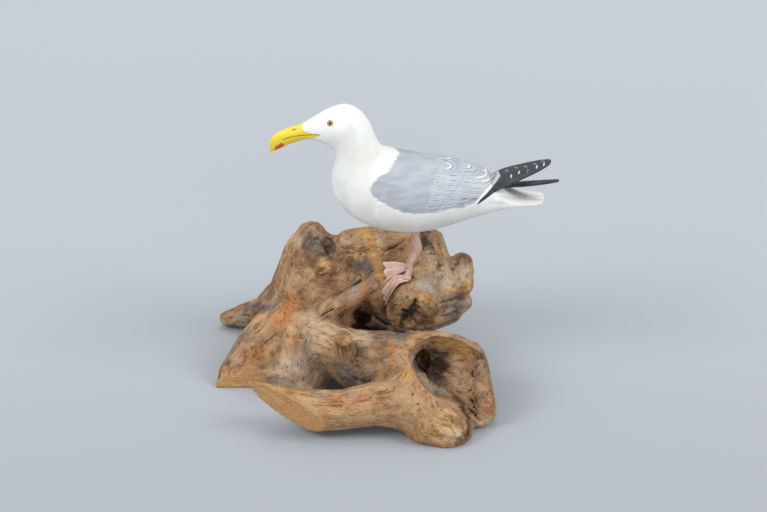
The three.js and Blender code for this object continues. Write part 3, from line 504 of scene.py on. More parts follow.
# Nail head: the radius and height of its rings
PIN_PROFILE = [(0.9, -0.6), (0.95, 0.9), (0.9, 1.15), (0.72, 1.25), (0.6, 1.1), (0.4, 1.2), (0.02, 1.3)]
PIN_SIDES = 28


# Small helpers for numbers
def unit(vectors):
    return vectors / np.maximum(np.linalg.norm(vectors, axis=-1, keepdims=True), 1e-9)


def smooth_step(values, low, high):
    t = np.clip((values - low) / (high - low), 0, 1)
    return t * t * (3 - 2 * t)


def between(table, places):
    """Smooth rows between the rows of a table, for places from 0 to 1."""
    table = np.asarray(table, float)
    spot = np.minimum(np.asarray(places) * (len(table) - 1), len(table) - 1 - 1e-9)
    i = np.floor(spot).astype(int)
    f = (spot - i)[:, None]
    a, b, c, d = (table[np.clip(i + k, 0, len(table) - 1)] for k in (-1, 0, 1, 2))
    return 0.5 * (2 * b + (c - a) * f + (2 * a - 5 * b + 4 * c - d) * f**2 + (3 * b - a - 3 * c + d) * f**3)


def lattice(cells, seed):
    """A steady number from 0 to 1 for each whole-number cell."""
    x, y, z = (cells[..., k].astype(np.int64).astype(np.uint32) for k in range(3))
    mixed = x * np.uint32(374761393) + y * np.uint32(668265263) + z * np.uint32(2147483589)
    mixed = mixed + np.uint32(seed * 362437)
    mixed = (mixed ^ (mixed >> np.uint32(13))) * np.uint32(1274126177)
    mixed = mixed ^ (mixed >> np.uint32(16))
    return (mixed & np.uint32(0xFFFFFF)) / float(0xFFFFFF)


def noise(points, size, seed):
    """Smooth noise from -1 to 1, with lumps about size across."""
    place = points / size
    cell = np.floor(place)
    f = place - cell
    f = f * f * (3 - 2 * f)
    total = np.zeros(len(points))
    for corner in np.ndindex(2, 2, 2):
        weight = np.prod(np.where(np.array(corner), f, 1 - f), axis=1)
        total += weight * lattice(cell + corner, seed)
    return 2 * total - 1


def rough_noise(points, size, seed, octaves=3):
    total = np.zeros(len(points))
    for k in range(octaves):
        total += noise(points, size / 2**k, seed + k) / 2**k
    return total


# The picture's points
RAY_START = 820.0
RAY_STEPS = 90


def camera_frame():
    """The camera's place and its right, up and forward directions, in the source's millimetres."""
    forward = np.array([0, math.cos(CAMERA_ELEVATION), -math.sin(CAMERA_ELEVATION)])
    up = np.array([0, math.sin(CAMERA_ELEVATION), math.cos(CAMERA_ELEVATION)])
    return CAMERA_TARGET - CAMERA_DISTANCE * forward, np.array([1.0, 0, 0]), up, forward


EYE_POINT, RIGHT, UP, FORWARD = camera_frame()
FOCAL = PICTURE[0] * LENS / SENSOR


def seen(points):
    """Where points show in the picture."""
    away = points - EYE_POINT
    depth = away @ FORWARD
    across = PICTURE[0] / 2 + FOCAL * (away @ RIGHT) / depth
    return np.stack([across, PICTURE[1] / 2 - FOCAL * (away @ UP) / depth], axis=1)


def picked(field, spots):
    """The points of a field's surface that show at these picture points."""
    spots = np.asarray(spots, float)
    across = (spots[:, 0] - PICTURE[0] / 2) / FOCAL
    down = (spots[:, 1] - PICTURE[1] / 2) / FOCAL
    rays = unit(FORWARD + across[:, None] * RIGHT - down[:, None] * UP)
    travelled = np.full(len(spots), RAY_START)
    best = travelled.copy()
    nearest = np.full(len(spots), np.inf)
    for _ in range(RAY_STEPS):
        gap = field(EYE_POINT + travelled[:, None] * rays)
        closer = gap < nearest
        nearest = np.where(closer, gap, nearest)
        best = np.where(closer, travelled, best)
        travelled = travelled + np.clip(gap, 0, 20) * 0.9
    return EYE_POINT + best[:, None] * rays


# Driftwood field: distance outside the wood, negative inside
def blend_min(a, b, blend):
    h = np.maximum(blend - np.abs(a - b), 0) / blend
    return np.minimum(a, b) - h * h * blend / 4


def blend_max(a, b, blend):
    return -blend_min(-a, -b, blend)


def spans(balls):
    """The joined pairs of a chain of balls, each with its run from the chain's start."""
    balls = np.asarray(balls, float)
    lengths = np.linalg.norm(np.diff(balls[:, :3], axis=0), axis=1)
    runs = np.concatenate([[0], np.cumsum(lengths)])
    return zip(balls[:-1], balls[1:], lengths, runs)


def chain(points, balls):
    """Distance to a chain of balls."""
    nearest = np.full(len(points), np.inf)
    for start, end, length, _ in spans(balls):
        span = end[:3] - start[:3]
        offset = points - start[:3]
        t = np.clip(offset @ span / length**2, 0, 1)
        offset -= t[:, None] * span
        gap = np.sqrt(np.einsum("ij,ij->i", offset, offset)) - start[3] - t * (end[3] - start[3])
        nearest = np.minimum(nearest, gap)
    return nearest


def chain_grain(points, balls):
    """Distance to a chain of balls, and the point's place in the grain that runs along it."""
    heading = unit(np.subtract(balls[-1][:3], balls[0][:3]).astype(float))
    gaps, places = [], []
    for start, end, length, run in spans(balls):
        span = end[:3] - start[:3]
        t = np.clip((points - start[:3]) @ span / length**2, 0, 1)
        offset = points - start[:3] - t[:, None] * span
        gaps.append(np.linalg.norm(offset, axis=1) - start[3] - t * (end[3] - start[3]))
        places.append(offset + GRAIN_STRETCH * (run + t * length)[:, None] * heading)
    nearest = np.min(gaps, axis=0)
    weights = np.exp((nearest - gaps) / GRAIN_BLEND)
    grain = (weights[:, :, None] * places).sum(0) / weights.sum(0)[:, None]
    return nearest, grain


def near_chain(points, balls, reach):
    """The points that may lie within reach of a chain of balls."""
    balls = np.asarray(balls, float)
    middle = (balls[:, :3].min(0) + balls[:, :3].max(0)) / 2
    radius = (np.linalg.norm(balls[:, :3] - middle, axis=1) + balls[:, 3]).max()
    offset = points - middle
    return np.flatnonzero(np.sqrt(np.einsum("ij,ij->i", offset, offset)) - radius < reach)


def saw_distance(points, end):
    place, facing, radius, depth = end[:4]
    facing = unit(np.array(facing, float))
    offset = points - np.array(place)
    height = offset @ facing
    across = np.linalg.norm(offset - height[:, None] * facing, axis=1)
    return np.maximum(np.maximum(-height, height - depth), across - radius)


def cut_log(points, distance):
    trimmed = distance
    for place, facing, blend in LOG_CUTS:
        side = (points - np.array(place)) @ unit(np.array(facing, float))
        trimmed = blend_max(trimmed, side, blend)
    at_log = (points[:, 0] >= LOG_FROM_X) & (points[:, 1] <= LOG_TO_Y)
    return np.where(at_log, trimmed, distance)


def add_limbs(points, distance, limbs):
    for _, blend, balls in limbs:
        near = near_chain(points, balls, distance + blend)
        distance[near] = blend_min(distance[near], chain(points[near], balls), blend)


def wood(points):
    distance = np.full(len(points), 1000.0)
    add_limbs(points, distance, LIMBS + SPLINTERS)
    distance = cut_log(points, distance)
    for _, blend, balls in HOLLOWS:
        near = near_chain(points, balls, 2 + blend - distance)
        place = points[near]
        crumble = 0.5 * noise(place, 3.2, 5) + 0.25 * noise(place, 1.7, 6)
        distance[near] = blend_max(distance[near], crumble - chain(place, balls), blend)
    add_limbs(points, distance, STANDING_WALL)
    for end in SAWN_ENDS:
        distance = blend_max(distance, -saw_distance(points, end), SAW_SOFT)
    return np.maximum(distance, -points[:, 2])


def slope(field, points, step=0.25):
    """The direction in which a field grows."""
    rise = np.zeros((len(points), 3))
    for axis in range(3):
        shift = np.zeros(3)
        shift[axis] = step
        rise[:, axis] = field(points + shift) - field(points - shift)
    return unit(rise)


# Meshing the field
def narrow_grid(field, low, high, cell, coarse_steps):
    """The field on a grid, worked out finely only near its surface."""
    low = np.array(low, float)
    coarse = cell * coarse_steps
    counts = np.ceil((np.array(high) - low) / coarse).astype(int) + 1
    coarse_points = np.stack(np.meshgrid(*[low[k] + coarse * np.arange(counts[k]) for k in range(3)],
                                         indexing="ij"), axis=-1).reshape(-1, 3)
    rough = field(coarse_points).reshape(counts)
    fine_counts = (counts - 1) * coarse_steps + 1
    nearest = [np.round(np.arange(n) / coarse_steps).astype(int) for n in fine_counts]
    values = rough[np.ix_(*nearest)]
    close = np.argwhere(np.abs(values) < 0.9 * coarse + 1.2)
    values[tuple(close.T)] = field(low + cell * close)
    return values


def surface_net(values, low, cell):
    """One point in each cell that the surface passes through, joined by squares."""
    low = np.array(low, float)
    inside = values < 0
    cells = tuple(n - 1 for n in values.shape)
    total = np.zeros(cells + (3,))
    count = np.zeros(cells)
    for axis in range(3):
        start = np.take(values, range(values.shape[axis] - 1), axis)
        end = np.take(values, range(1, values.shape[axis]), axis)
        crossed = (start < 0) != (end < 0)
        t = np.where(crossed, start / np.where(crossed, start - end, 1), 0)
        others = [k for k in range(3) if k != axis]
        for i, j in np.ndindex(2, 2):
            window = [slice(None)] * 3
            window[others[0]] = slice(i, cells[others[0]] + i)
            window[others[1]] = slice(j, cells[others[1]] + j)
            here = crossed[tuple(window)]
            count += here
            total[..., axis] += t[tuple(window)] * here
            total[..., others[0]] += i * here
            total[..., others[1]] += j * here
    active = count > 0
    index = np.full(cells, -1)
    index[active] = np.arange(active.sum())
    points = low + cell * (np.argwhere(active) + total[active] / count[active][:, None])
    squares = []
    for axis in range(3):
        start = np.take(inside, range(inside.shape[axis] - 1), axis)
        end = np.take(inside, range(1, inside.shape[axis]), axis)
        edges = np.argwhere(start != end)
        b, c = (axis + 1) % 3, (axis + 2) % 3
        kept = (edges[:, b] > 0) & (edges[:, c] > 0) & (edges[:, b] < cells[b]) & (edges[:, c] < cells[c])
        edges = edges[kept]
        corners = []
        for i, j in ((1, 1), (0, 1), (0, 0), (1, 0)):
            corner = edges.copy()
            corner[:, b] -= i
            corner[:, c] -= j
            corners.append(index[tuple(corner.T)])
        square = np.stack(corners, axis=1)
        outward = start[tuple(edges.T)]
        square[~outward] = square[~outward][:, ::-1]
        squares.append(square)
    return points, np.concatenate(squares)


def neighbour_mean(values, pairs, count):
    """Each point's mean of the values at its neighbours."""
    shape = values.shape
    values = values.reshape(len(values), -1)
    total = np.zeros((count, values.shape[1]))
    for k in range(values.shape[1]):
        total[:, k] = np.bincount(pairs[:, 0], values[pairs[:, 1], k], count)
        total[:, k] += np.bincount(pairs[:, 1], values[pairs[:, 0], k], count)
    degree = np.bincount(pairs.ravel(), minlength=count)[:, None]
    return (total / np.maximum(degree, 1)).reshape(shape)


def edge_pairs(faces):
    sides = np.concatenate([faces[:, [k, (k + 1) % faces.shape[1]]] for k in range(faces.shape[1])])
    return np.unique(np.sort(sides, axis=1), axis=0)


def mesh_object(name, points, faces, attributes):
    """A mesh in metres in the shared frame, from points in the source's millimetres."""
    mesh = bpy.data.meshes.new(name)
    mesh.vertices.add(len(points))
    mesh.vertices.foreach_set("co", ((points - ORIGIN) * METRE).astype(np.float32).ravel())
    size = faces.shape[1]
    mesh.loops.add(faces.size)
    mesh.loops.foreach_set("vertex_index", faces.astype(np.int32).ravel())
    mesh.polygons.add(len(faces))
    mesh.polygons.foreach_set("loop_start", np.arange(0, faces.size, size, dtype=np.int32))
    mesh.update(calc_edges=True)
    mesh.polygons.foreach_set("use_smooth", np.full(len(faces), True))
    for label, values in attributes.items():
        values = np.asarray(values, dtype=np.float32)
        if values.ndim == 1:
            mesh.attributes.new(label, "FLOAT", "POINT").data.foreach_set("value", values)
        elif label == "tone":
            colours = np.concatenate([values, np.ones((len(values), 1), np.float32)], axis=1)
            mesh.attributes.new(label, "FLOAT_COLOR", "POINT").data.foreach_set("color", colours.ravel())
        else:
            mesh.attributes.new(label, "FLOAT_VECTOR", "POINT").data.foreach_set("vector", values.ravel())
    mesh.validate()
    thing = bpy.data.objects.new(name, mesh)
    bpy.context.scene.collection.objects.link(thing)
    return thing


def linear(colour):
    """Red, green and blue out of 255 as light values."""
    parts = np.asarray(colour, float) / 255
    return np.where(parts <= 0.04045, parts / 12.92, ((parts + 0.055) / 1.055) ** 2.4)


# Driftwood surface
def near_line(points, line):
    """Distance to a line of joined spans, and how far along the line that is, from 0 to 1."""
    line = np.asarray(line, float)
    nearest = np.full(len(points), np.inf)
    place = np.zeros(len(points))
    spans_count = max(len(line) - 1, 1)
    for i, (start, end) in enumerate(zip(line, line[1:] if len(line) > 1 else line)):
        span = end - start
        t = np.clip((points - start) @ span / max(span @ span, 1e-9), 0, 1)
        gap = np.linalg.norm(points - start - t[:, None] * span, axis=1)
        closer = gap < nearest
        nearest = np.where(closer, gap, nearest)
        place = np.where(closer, (i + t) / spans_count, place)
    return nearest, place


def line_distance(points, line):
    return near_line(points, line)[0]


def laid_line(spots, seed, wander):
    """A line drawn in picture points, with some wander, laid on the wood."""
    spots = np.asarray(spots, float)
    count = max(3, int(np.linalg.norm(np.diff(spots, axis=0), axis=1).sum() / 2))
    steps = np.arange(count)[:, None] * np.array([1.0, 0, 0])
    shift = np.stack([noise(steps, 2.2, seed), noise(steps, 2.2, seed + 1)], axis=1)
    return picked(wood, between(spots, np.linspace(0, 1, count)) + wander * shift)


def within(points, line, reach):
    return np.flatnonzero((points > line.min(0) - reach).all(1) & (points < line.max(0) + reach).all(1))


def crack_depths(points):
    """How far each point is from a crack's edge, and how deep the cracks are there."""
    edge = np.full(len(points), 3.0)
    depth = np.zeros(len(points))
    ragged = 1 + 0.45 * noise(points, 2.4, 47)
    lines = [
        (laid_line(spots, 40 + i, 0.8), width, deep) for i, (_, width, deep, spots) in enumerate(CRACKS)
    ]
    holes = picked(wood, [hole[:2] for hole in WORM_HOLES])
    lines += [(place[None], 2 * hole[2], 1.2) for place, hole in zip(holes, WORM_HOLES)]
    for line, width, deep in lines:
        near = within(points, line, 3)
        gap, place = near_line(points[near], line)
        taper = 1.0
        if len(line) > 1:
            taper = ragged[near] * np.clip(4.5 * place * (1 - place) + 0.2, 0, 1)
        edge[near] = np.minimum(edge[near], gap - taper * width / 2)
        sunk = deep * taper * (1 - smooth_step(gap, width * 0.2, width * 0.9))
        depth[near] = np.maximum(depth[near], sunk)
    return edge, depth


def fold_heights(points):
    total = np.zeros(len(points))
    for i, (_, width, height, spots) in enumerate(FOLDS):
        line = laid_line(spots, 140 + i, 0.6)
        near = within(points, line, 2.5 * width)
        gap, place = near_line(points[near], line)
        taper = smooth_step(np.minimum(place, 1 - place), -0.12, 0.2)
        total[near] += height * taper * np.exp(-((gap / width) ** 2))
    return total


def grain_places(points):
    """Each point's place in the grain, which changes over smoothly from limb to limb."""
    gaps, places = [], []
    for _, _, balls in LIMBS:
        gap, place = chain_grain(points, balls)
        gaps.append(gap)
        places.append(place)
    gaps = np.array(gaps)
    weights = np.exp(-(gaps - gaps.min(0)) / GRAIN_BLEND)
    weights /= weights.sum(0)
    return weights, places


def along_grain(weights, places, size, seed):
    total = np.zeros(len(places[0]))
    for k, (weight, place) in enumerate(zip(weights, places)):
        felt = np.flatnonzero(weight > 0.02)
        total[felt] += weight[felt] * noise(place[felt], size, seed + 7 * k)
    return total


def shade_openness(points, facing):
    """1 where the wood stands free, toward 0 in hollows, for the painted shade that darkens the hollows."""
    hollow_shade = np.zeros(len(points))
    for reach in SHADE_REACHES:
        hollow_shade += np.clip(1 - wood(points + reach * facing) / reach, 0, 1) / len(SHADE_REACHES)
    return 1 - hollow_shade


def wood_tones(points, streaks, broad):
    """The wood's colour at each point: its own play of tan and grey, then the picture's zones and bands
    over it, some of them painted shade in hollows and gaps.
    """
    colours = np.tile(linear(TONES["tan"]), (len(points), 1))

    def tint(name, amount):
        colours[:] += (linear(TONES[name]) - colours) * np.clip(amount, 0, 1)[:, None]

    for name, size, seed, low, amount in PLAY:
        tint(name, amount * smooth_step(rough_noise(points, size, seed) + 0.5 * broad, low, low + 0.7))
    wobble = 1 + 0.35 * rough_noise(points, 5, 51) + 0.2 * streaks
    centres = picked(wood, [zone[:2] for zone in ZONES])
    for centre, (_, _, reach, name, strength) in zip(centres, ZONES):
        gap = np.linalg.norm(points - centre, axis=1) * wobble
        tint(name, strength * (1 - smooth_step(gap, 0.3 * reach, 1.4 * reach)))
    for reach, name, strength, spots in BANDS:
        gap = line_distance(points, laid_line(spots, 90, 0.5)) * wobble
        tint(name, strength * (1 - smooth_step(gap, 0.3 * reach, 1.3 * reach)))
    return colours


def roughness_at(points):
    height = np.full(len(points), SMOOTH_LUMPS)
    centres = picked(wood, [zone[:2] for zone in ROUGH])
    for centre, (_, _, reach, lumps) in zip(centres, ROUGH):
        gap = np.linalg.norm(points - centre, axis=1)
        height = np.maximum(height, lumps * (1 - smooth_step(gap, 0.5 * reach, 1.4 * reach)))
    behind = smooth_step(points[:, 1], 34, 50) * smooth_step(points[:, 2], 12, 30)
    return np.maximum(height, 0.7 * behind)


def sawn_amount(points):
    """How much of a fresh saw cut shows at each point, from 0 to 1."""
    amount = np.zeros(len(points))
    for place, facing, radius, _, fresh in SAWN_ENDS:
        height = (points - np.array(place)) @ unit(np.array(facing, float))
        on_face = 1 - smooth_step(np.abs(height), 0.25, 0.7)
        reach = np.linalg.norm(points - np.array(place), axis=1)
        amount = np.maximum(amount, fresh * on_face * (reach < radius + 2))
    return amount


def wood_skin():
    """The wood's surface as points and squares, eased once and drawn back onto the field."""
    values = narrow_grid(wood, WOOD_LOW, WOOD_HIGH, WOOD_CELL, COARSE_STEPS)
    points, squares = surface_net(values, WOOD_LOW, WOOD_CELL)
    pairs = edge_pairs(squares)
    points += 0.5 * (neighbour_mean(points, pairs, len(points)) - points)
    for _ in range(2):
        step = np.clip(wood(points), -0.4, 0.4)
        points -= step[:, None] * slope(wood, points)
    return points, squares


def make_driftwood():
    points, squares = wood_skin()
    facing = slope(wood, points)
    weights, places = grain_places(points)
    streaks = along_grain(weights, places, 1.9, 60) + 0.6 * along_grain(weights, places, 1.1, 160)
    broad = along_grain(weights, places, 4.5, 260)
    checks = np.abs(along_grain(weights, places, 3.4, 360))
    checks += 0.5 * smooth_step(noise(points, 11, 75), 0.3, -0.2)
    checks = 1 - smooth_step(checks, 0.0, 0.22)
    lumps = rough_noise(points, 6.5, 70)
    pits = smooth_step(rough_noise(points, 2.8, 72, 2), 0.25, 0.8)
    height = roughness_at(points)
    sawn = sawn_amount(points)
    folds = fold_heights(points)
    edge, depth = crack_depths(points)
    free = 1 - 0.85 * sawn
    rise = height * (0.55 * lumps + 0.45 * broad) + (0.16 + 0.22 * height) * np.minimum(streaks, 0.35)
    rise -= (0.05 + 0.4 * height) * checks + 1.3 * np.maximum(height - 0.45, 0) * pits
    rise = free * rise + folds - depth + 0.12 * sawn * noise(points, 1.4, 80)
    ground = smooth_step(points[:, 2], 0.0, 2.0)
    # Painted shade: openness is lowered in grooves and raised on ridges, so the wood's colour darkens in
    # the grooves and hollows
    relief_shade = 0.14 * folds + 0.2 * (rise - folds + depth)
    painted_shade_openness = shade_openness(points, facing) + free * np.clip(relief_shade, -0.35, 0.2)
    points = points + (rise * ground)[:, None] * facing
    points[:, 2] = np.maximum(points[:, 2], 0)
    grain = sum(weight[:, None] * place for weight, place in zip(weights, places))
    attributes = {
        "tone": wood_tones(points, streaks, broad), "grain": grain, "streak": streaks, "crack": edge,
        "check": checks * free, "sawn": sawn, "open_shade": painted_shade_openness, "rough": height,
    }
    return mesh_object("driftwood_carved", points, squares, attributes), points, squares


# Gull
def inside_polygon(places, outline):
    inside = np.zeros(len(places), bool)
    for (ax, ay), (bx, by) in zip(outline, outline[1:] + outline[:1]):
        if ay == by:
            continue
        crosses = (ay > places[:, 1]) != (by > places[:, 1])
        inside ^= crosses & (places[:, 0] < ax + (places[:, 1] - ay) * (bx - ax) / (by - ay))
    return inside


def outline_distance(places, outline):
    """Distance to an outline, above 0 inside it."""
    gap = line_distance(places, outline + outline[:1])
    return np.where(inside_polygon(places, outline), gap, -gap)


def grid_faces(rings, sides):
    """Squares of a tube of rings."""
    i, j = np.meshgrid(np.arange(rings - 1), np.arange(sides), indexing="ij")
    k = (j + 1) % sides
    near, far = i * sides, (i + 1) * sides
    return np.stack([near + j, near + k, far + k, far + j], axis=-1).reshape(-1, 4)


def body_points():
    rows = between(SECTIONS, np.linspace(0, 1, BODY_RINGS))
    angles = np.linspace(0, 2 * math.pi, BODY_SIDES, endpoint=False)
    x, z, tilt, half_depth, half_width = (rows[:, k, None] for k in range(5))
    lean = np.radians(tilt)
    power = 1 - (1 - TAIL_POWER) * smooth_step(x, *TAIL_FROM)
    high = np.sign(np.cos(angles)) * np.abs(np.cos(angles)) ** power
    wide = np.sign(np.sin(angles)) * np.abs(np.sin(angles)) ** power
    up = half_depth * high
    nip = np.clip((x - NIP_FROM[0]) / (NIP_FROM[1] - NIP_FROM[0]), 0, 1) * np.maximum(-wide, 0) ** 4
    px = x + up * np.cos(lean) - TAIL_NIP * nip
    pz = z + up * np.sin(lean)
    signed = outline_distance(np.stack([px.ravel(), pz.ravel()], axis=1), WING_OUTLINE).reshape(px.shape)
    out = np.abs(wide) * WING_RISE * smooth_step(signed, -WING_EDGE_SOFT / 2, WING_EDGE_SOFT / 2)
    py = BODY_MIDDLE_Y + (half_width + out) * wide
    return np.stack([px, py, pz], axis=-1).reshape(-1, 3)


def tip_points(lean, line):
    rows = between(line, np.linspace(0, 1, TIP_RINGS))
    angles = np.linspace(0, 2 * math.pi, TIP_SIDES, endpoint=False)
    tilt = math.radians(lean)
    across = np.maximum(rows[:, 3, None], 0.3) * np.cos(angles)
    up = np.maximum(rows[:, 4, None], 0.3) * np.sin(angles)
    points = np.stack([
        np.broadcast_to(rows[:, 0, None], across.shape),
        rows[:, 1, None] + across * math.cos(tilt) - up * math.sin(tilt),
        rows[:, 2, None] + across * math.sin(tilt) + up * math.cos(tilt),
    ], axis=-1)
    return points.reshape(-1, 3)


def closed_ends(points, sides):
    """A tube's rings with a tiny ring added at each end, so that both ends are shut."""
    rings = points.reshape(-1, sides, 3)
    ends = [ring.mean(0) + 0.02 * (ring - ring.mean(0)) for ring in (rings[0], rings[-1])]
    return np.concatenate([ends[0][None], rings, ends[1][None]]).reshape(-1, 3)


def nearest_line(places, lines):
    return np.min([line_distance(places, line) for line in lines], axis=0)


def picture_paint(points, toward):
    """Painted edges as distances in picture points, above 0 inside; what faces away gets none."""
    shows = smooth_step(-(toward @ FORWARD), -0.05, 0.12)
    hidden = 40 * (1 - shows)
    spots = seen(points)
    return {
        "seen": np.concatenate([spots, np.zeros((len(spots), 1))], axis=1),
        "mantle": outline_distance(spots, MANTLE) - hidden,
        "dark": outline_distance(spots, BLACK_EDGE) - hidden,
        "bill": outline_distance(spots, BILL),
        "bill_line": nearest_line(spots, [BILL_LINE]),
        "nostril": nearest_line(spots, [NOSTRIL]),
        "bill_spot": nearest_line(spots, [BILL_SPOT]),
        "eye": np.linalg.norm(spots - np.array(EYE), axis=1),
        "feather": nearest_line(spots, FEATHER_LINES) + hidden,
        "join": nearest_line(spots, FEATHER_JOINS) + hidden,
        "pale_line": nearest_line(spots, PALE_LINES) + hidden,
        "edge_line": nearest_line(spots, [EDGE_LINE]) + hidden,
        "crease_shade": nearest_line(spots, TAIL_SHADE_LINES) + hidden,
        "stroke": nearest_line(spots, TIP_STROKES) + hidden,
        "dim_stroke": nearest_line(spots, DIM_STROKES) + hidden,
    }


def body_paint(points, facing):
    """The body's paint, the same on both flanks."""
    mirrored = points.copy()
    mirrored[:, 1] = BODY_MIDDLE_Y - np.abs(points[:, 1] - BODY_MIDDLE_Y)
    toward = facing.copy()
    toward[:, 1] = -np.abs(facing[:, 1])
    return picture_paint(mirrored, toward)


def tip_paint(side, points, facing):
    """A wing tip's paint: black, with the mantle's end and pale strokes where the near one shows them."""
    paint = picture_paint(points, facing)
    away = smooth_step(facing @ FORWARD, -0.3, -0.1)
    black = np.maximum(9 * away, paint["seen"][:, 0] - ALL_BLACK_FROM)
    paint["dark"] = np.maximum(paint["dark"], black) if side == "left" else np.full(len(points), 9.0)
    if side == "right":
        paint["stroke"] += 40
        paint["dim_stroke"] += 40
    return paint


def ring_normals(points, rings, sides):
    grid = points.reshape(rings, sides, 3)
    along = np.gradient(grid, axis=0)
    around = np.roll(grid, -1, axis=1) - np.roll(grid, 1, axis=1)
    normals = unit(np.cross(around, along).reshape(-1, 3))
    middle = grid.mean(1, keepdims=True)
    outward = ((grid - middle).reshape(-1, 3) * normals).sum(1)
    return normals * np.where(outward.sum() < 0, -1, 1)


def make_gull():
    body = closed_ends(body_points(), BODY_SIDES)
    rings = BODY_RINGS + 2
    facing = ring_normals(body, rings, BODY_SIDES)
    paint = body_paint(body, facing)
    rise = 0
    for label, height, start, end in BODY_RELIEF:
        rise = rise + height * (1 - smooth_step(paint[label], start, end))
    rise += 0.05 * rough_noise(body, 9, 90)
    points, faces, paints = [body + rise[:, None] * facing], [grid_faces(rings, BODY_SIDES)], [paint]
    for side, (lean, line) in WING_TIPS.items():
        tip = closed_ends(tip_points(lean, line), TIP_SIDES)
        rings = TIP_RINGS + 2
        faces.append(grid_faces(rings, TIP_SIDES) + sum(len(part) for part in points))
        points.append(tip)
        paints.append(tip_paint(side, tip, ring_normals(tip, rings, TIP_SIDES)))
    attributes = {label: np.concatenate([each[label] for each in paints]) for label in paint}
    return mesh_object("gull_carved", np.concatenate(points), np.concatenate(faces), attributes)


# Legs and webbed feet
def surface_tree(points, squares):
    return BVHTree.FromPolygons([tuple(p) for p in points], [tuple(int(v) for v in s) for s in squares])


def lift_clear(points, tree, clear):
    """Raises points until they are the given distance above the wood's fine surface."""
    lifted = points.copy()
    for i, (x, y, z) in enumerate(points):
        hit = tree.ray_cast(Vector((x, y, z + PROBE_ABOVE)), Vector((0, 0, -1)), PROBE_REACH)[0]
        if hit is not None:
            lifted[i, 2] = max(z, hit.z + clear)
    return lifted


def toe_at(share):
    return np.abs(np.cos(2 * math.pi * share)) ** 3


def foot_surface(back_edge, front_edge, tree):
    """A webbed foot: a fan between two edges, thicker along its three toes, draped over the wood."""
    out = np.linspace(0, 1, FOOT_RINGS)
    share = np.linspace(0, 1, FOOT_SPAN)
    back = between(back_edge, out)[:, None, :]
    front = between(front_edge, out)[:, None, :]
    sole = back + share[:, None] * (front - back)
    ending = smooth_step(out, 0.7, 1.0)[:, None]
    sole[..., 0] += WEB_SCALLOP * ending * (1 - toe_at(share))
    sole = lift_clear(sole.reshape(-1, 3), tree, FOOT_CLEARANCE).reshape(FOOT_RINGS, FOOT_SPAN, 3)
    for _ in range(3):
        eased = sole.copy()
        eased[1:-1, 1:-1] = (sole[:-2, 1:-1] + sole[2:, 1:-1] + sole[1:-1, :-2] + sole[1:-1, 2:]) / 4
        sole[..., 2] = np.maximum(eased[..., 2], sole[..., 2] - 0.05)
    toes = toe_at(share)
    fold = 0.12 * np.cos(10 * math.pi * share) * out[:, None]
    top = sole.copy()
    top[..., 2] += FOOT_THICKNESS * (0.5 + 0.5 * toes) + fold
    rings = np.concatenate([top, sole[:, ::-1]], axis=1)
    plain = np.zeros((FOOT_RINGS, FOOT_SPAN))
    edge = np.minimum(np.minimum(share, 1 - share) * 9, (1 - out[:, None]) * 12)
    edge = np.concatenate([edge, plain], axis=1)
    toe = np.concatenate([toes + plain, plain], axis=1)
    return rings.reshape(-1, 3), FOOT_RINGS, 2 * FOOT_SPAN, edge.ravel(), toe.ravel()


def shank_surface(line):
    places = np.linspace(0, 1, SHANK_RINGS)
    middle = between(line, places)
    girth = between(SHANK_GIRTH, places)
    angles = np.linspace(0, 2 * math.pi, SHANK_SIDES, endpoint=False)
    rings = middle[:, None, :].repeat(SHANK_SIDES, axis=1)
    rings[..., 0] += SHANK_RADII[0] * girth * np.cos(angles)
    rings[..., 1] += SHANK_RADII[1] * girth * np.sin(angles)
    return closed_ends(rings.reshape(-1, 3), SHANK_SIDES), SHANK_RINGS + 2, SHANK_SIDES


def heel_surface(middle):
    turns = np.linspace(-math.pi / 2, math.pi / 2, HEEL_RINGS)
    angles = np.linspace(0, 2 * math.pi, SHANK_SIDES, endpoint=False)
    ball = np.stack([
        np.cos(turns)[:, None] * np.cos(angles), np.cos(turns)[:, None] * np.sin(angles),
        0.75 * np.sin(turns)[:, None] + 0 * angles,
    ], axis=-1)
    return (middle + HEEL_RADIUS * ball).reshape(-1, 3), HEEL_RINGS, SHANK_SIDES


def make_leg(node, tree):
    line, back_edge, front_edge = LEGS[node]
    heel = lift_clear(np.array([line[-1]], float), tree, HEEL_RADIUS * 0.75 + FOOT_CLEARANCE)[0]
    foot, rings, sides, edge, toe = foot_surface(back_edge, front_edge, tree)
    parts = [(foot, rings, sides, edge, toe)]
    for points, rings, sides in (shank_surface(line[:-1] + [tuple(heel)]), heel_surface(heel)):
        parts.append((points, rings, sides, np.full(len(points), 9.0), np.zeros(len(points))))
    points, faces, start = [], [], 0
    for place, rings, sides, _, _ in parts:
        points.append(place)
        faces.append(grid_faces(rings, sides) + start)
        start += len(place)
    points = np.concatenate(points)
    attributes = {
        "edge": np.concatenate([part[3] for part in parts]),
        "toe": np.concatenate([part[4] for part in parts]),
        "shade": rough_noise(points, 3.0, 95),
    }
    return mesh_object(node + "_painted", points, np.concatenate(faces), attributes)


def make_pin(tree):
    """A nail head: a low dome with a rim round it."""
    foot = lift_clear(np.array([PIN_FOOT], float), tree, 0.0)[0]
    up = unit(np.array(PIN_LEAN))
    side = unit(np.cross(up, (1.0, 0.2, 0.0)))
    across = np.cross(side, up)
    angles = np.linspace(0, 2 * math.pi, PIN_SIDES, endpoint=False)[:, None]
    rings = [foot + h * up + r * (np.cos(angles) * side + np.sin(angles) * across) for r, h in PIN_PROFILE]
    radius = np.repeat([r for r, _ in PIN_PROFILE], PIN_SIDES)
    faces = grid_faces(len(PIN_PROFILE), PIN_SIDES)
    return mesh_object("heel_pin_head", np.concatenate(rings), faces, {"reach": radius})


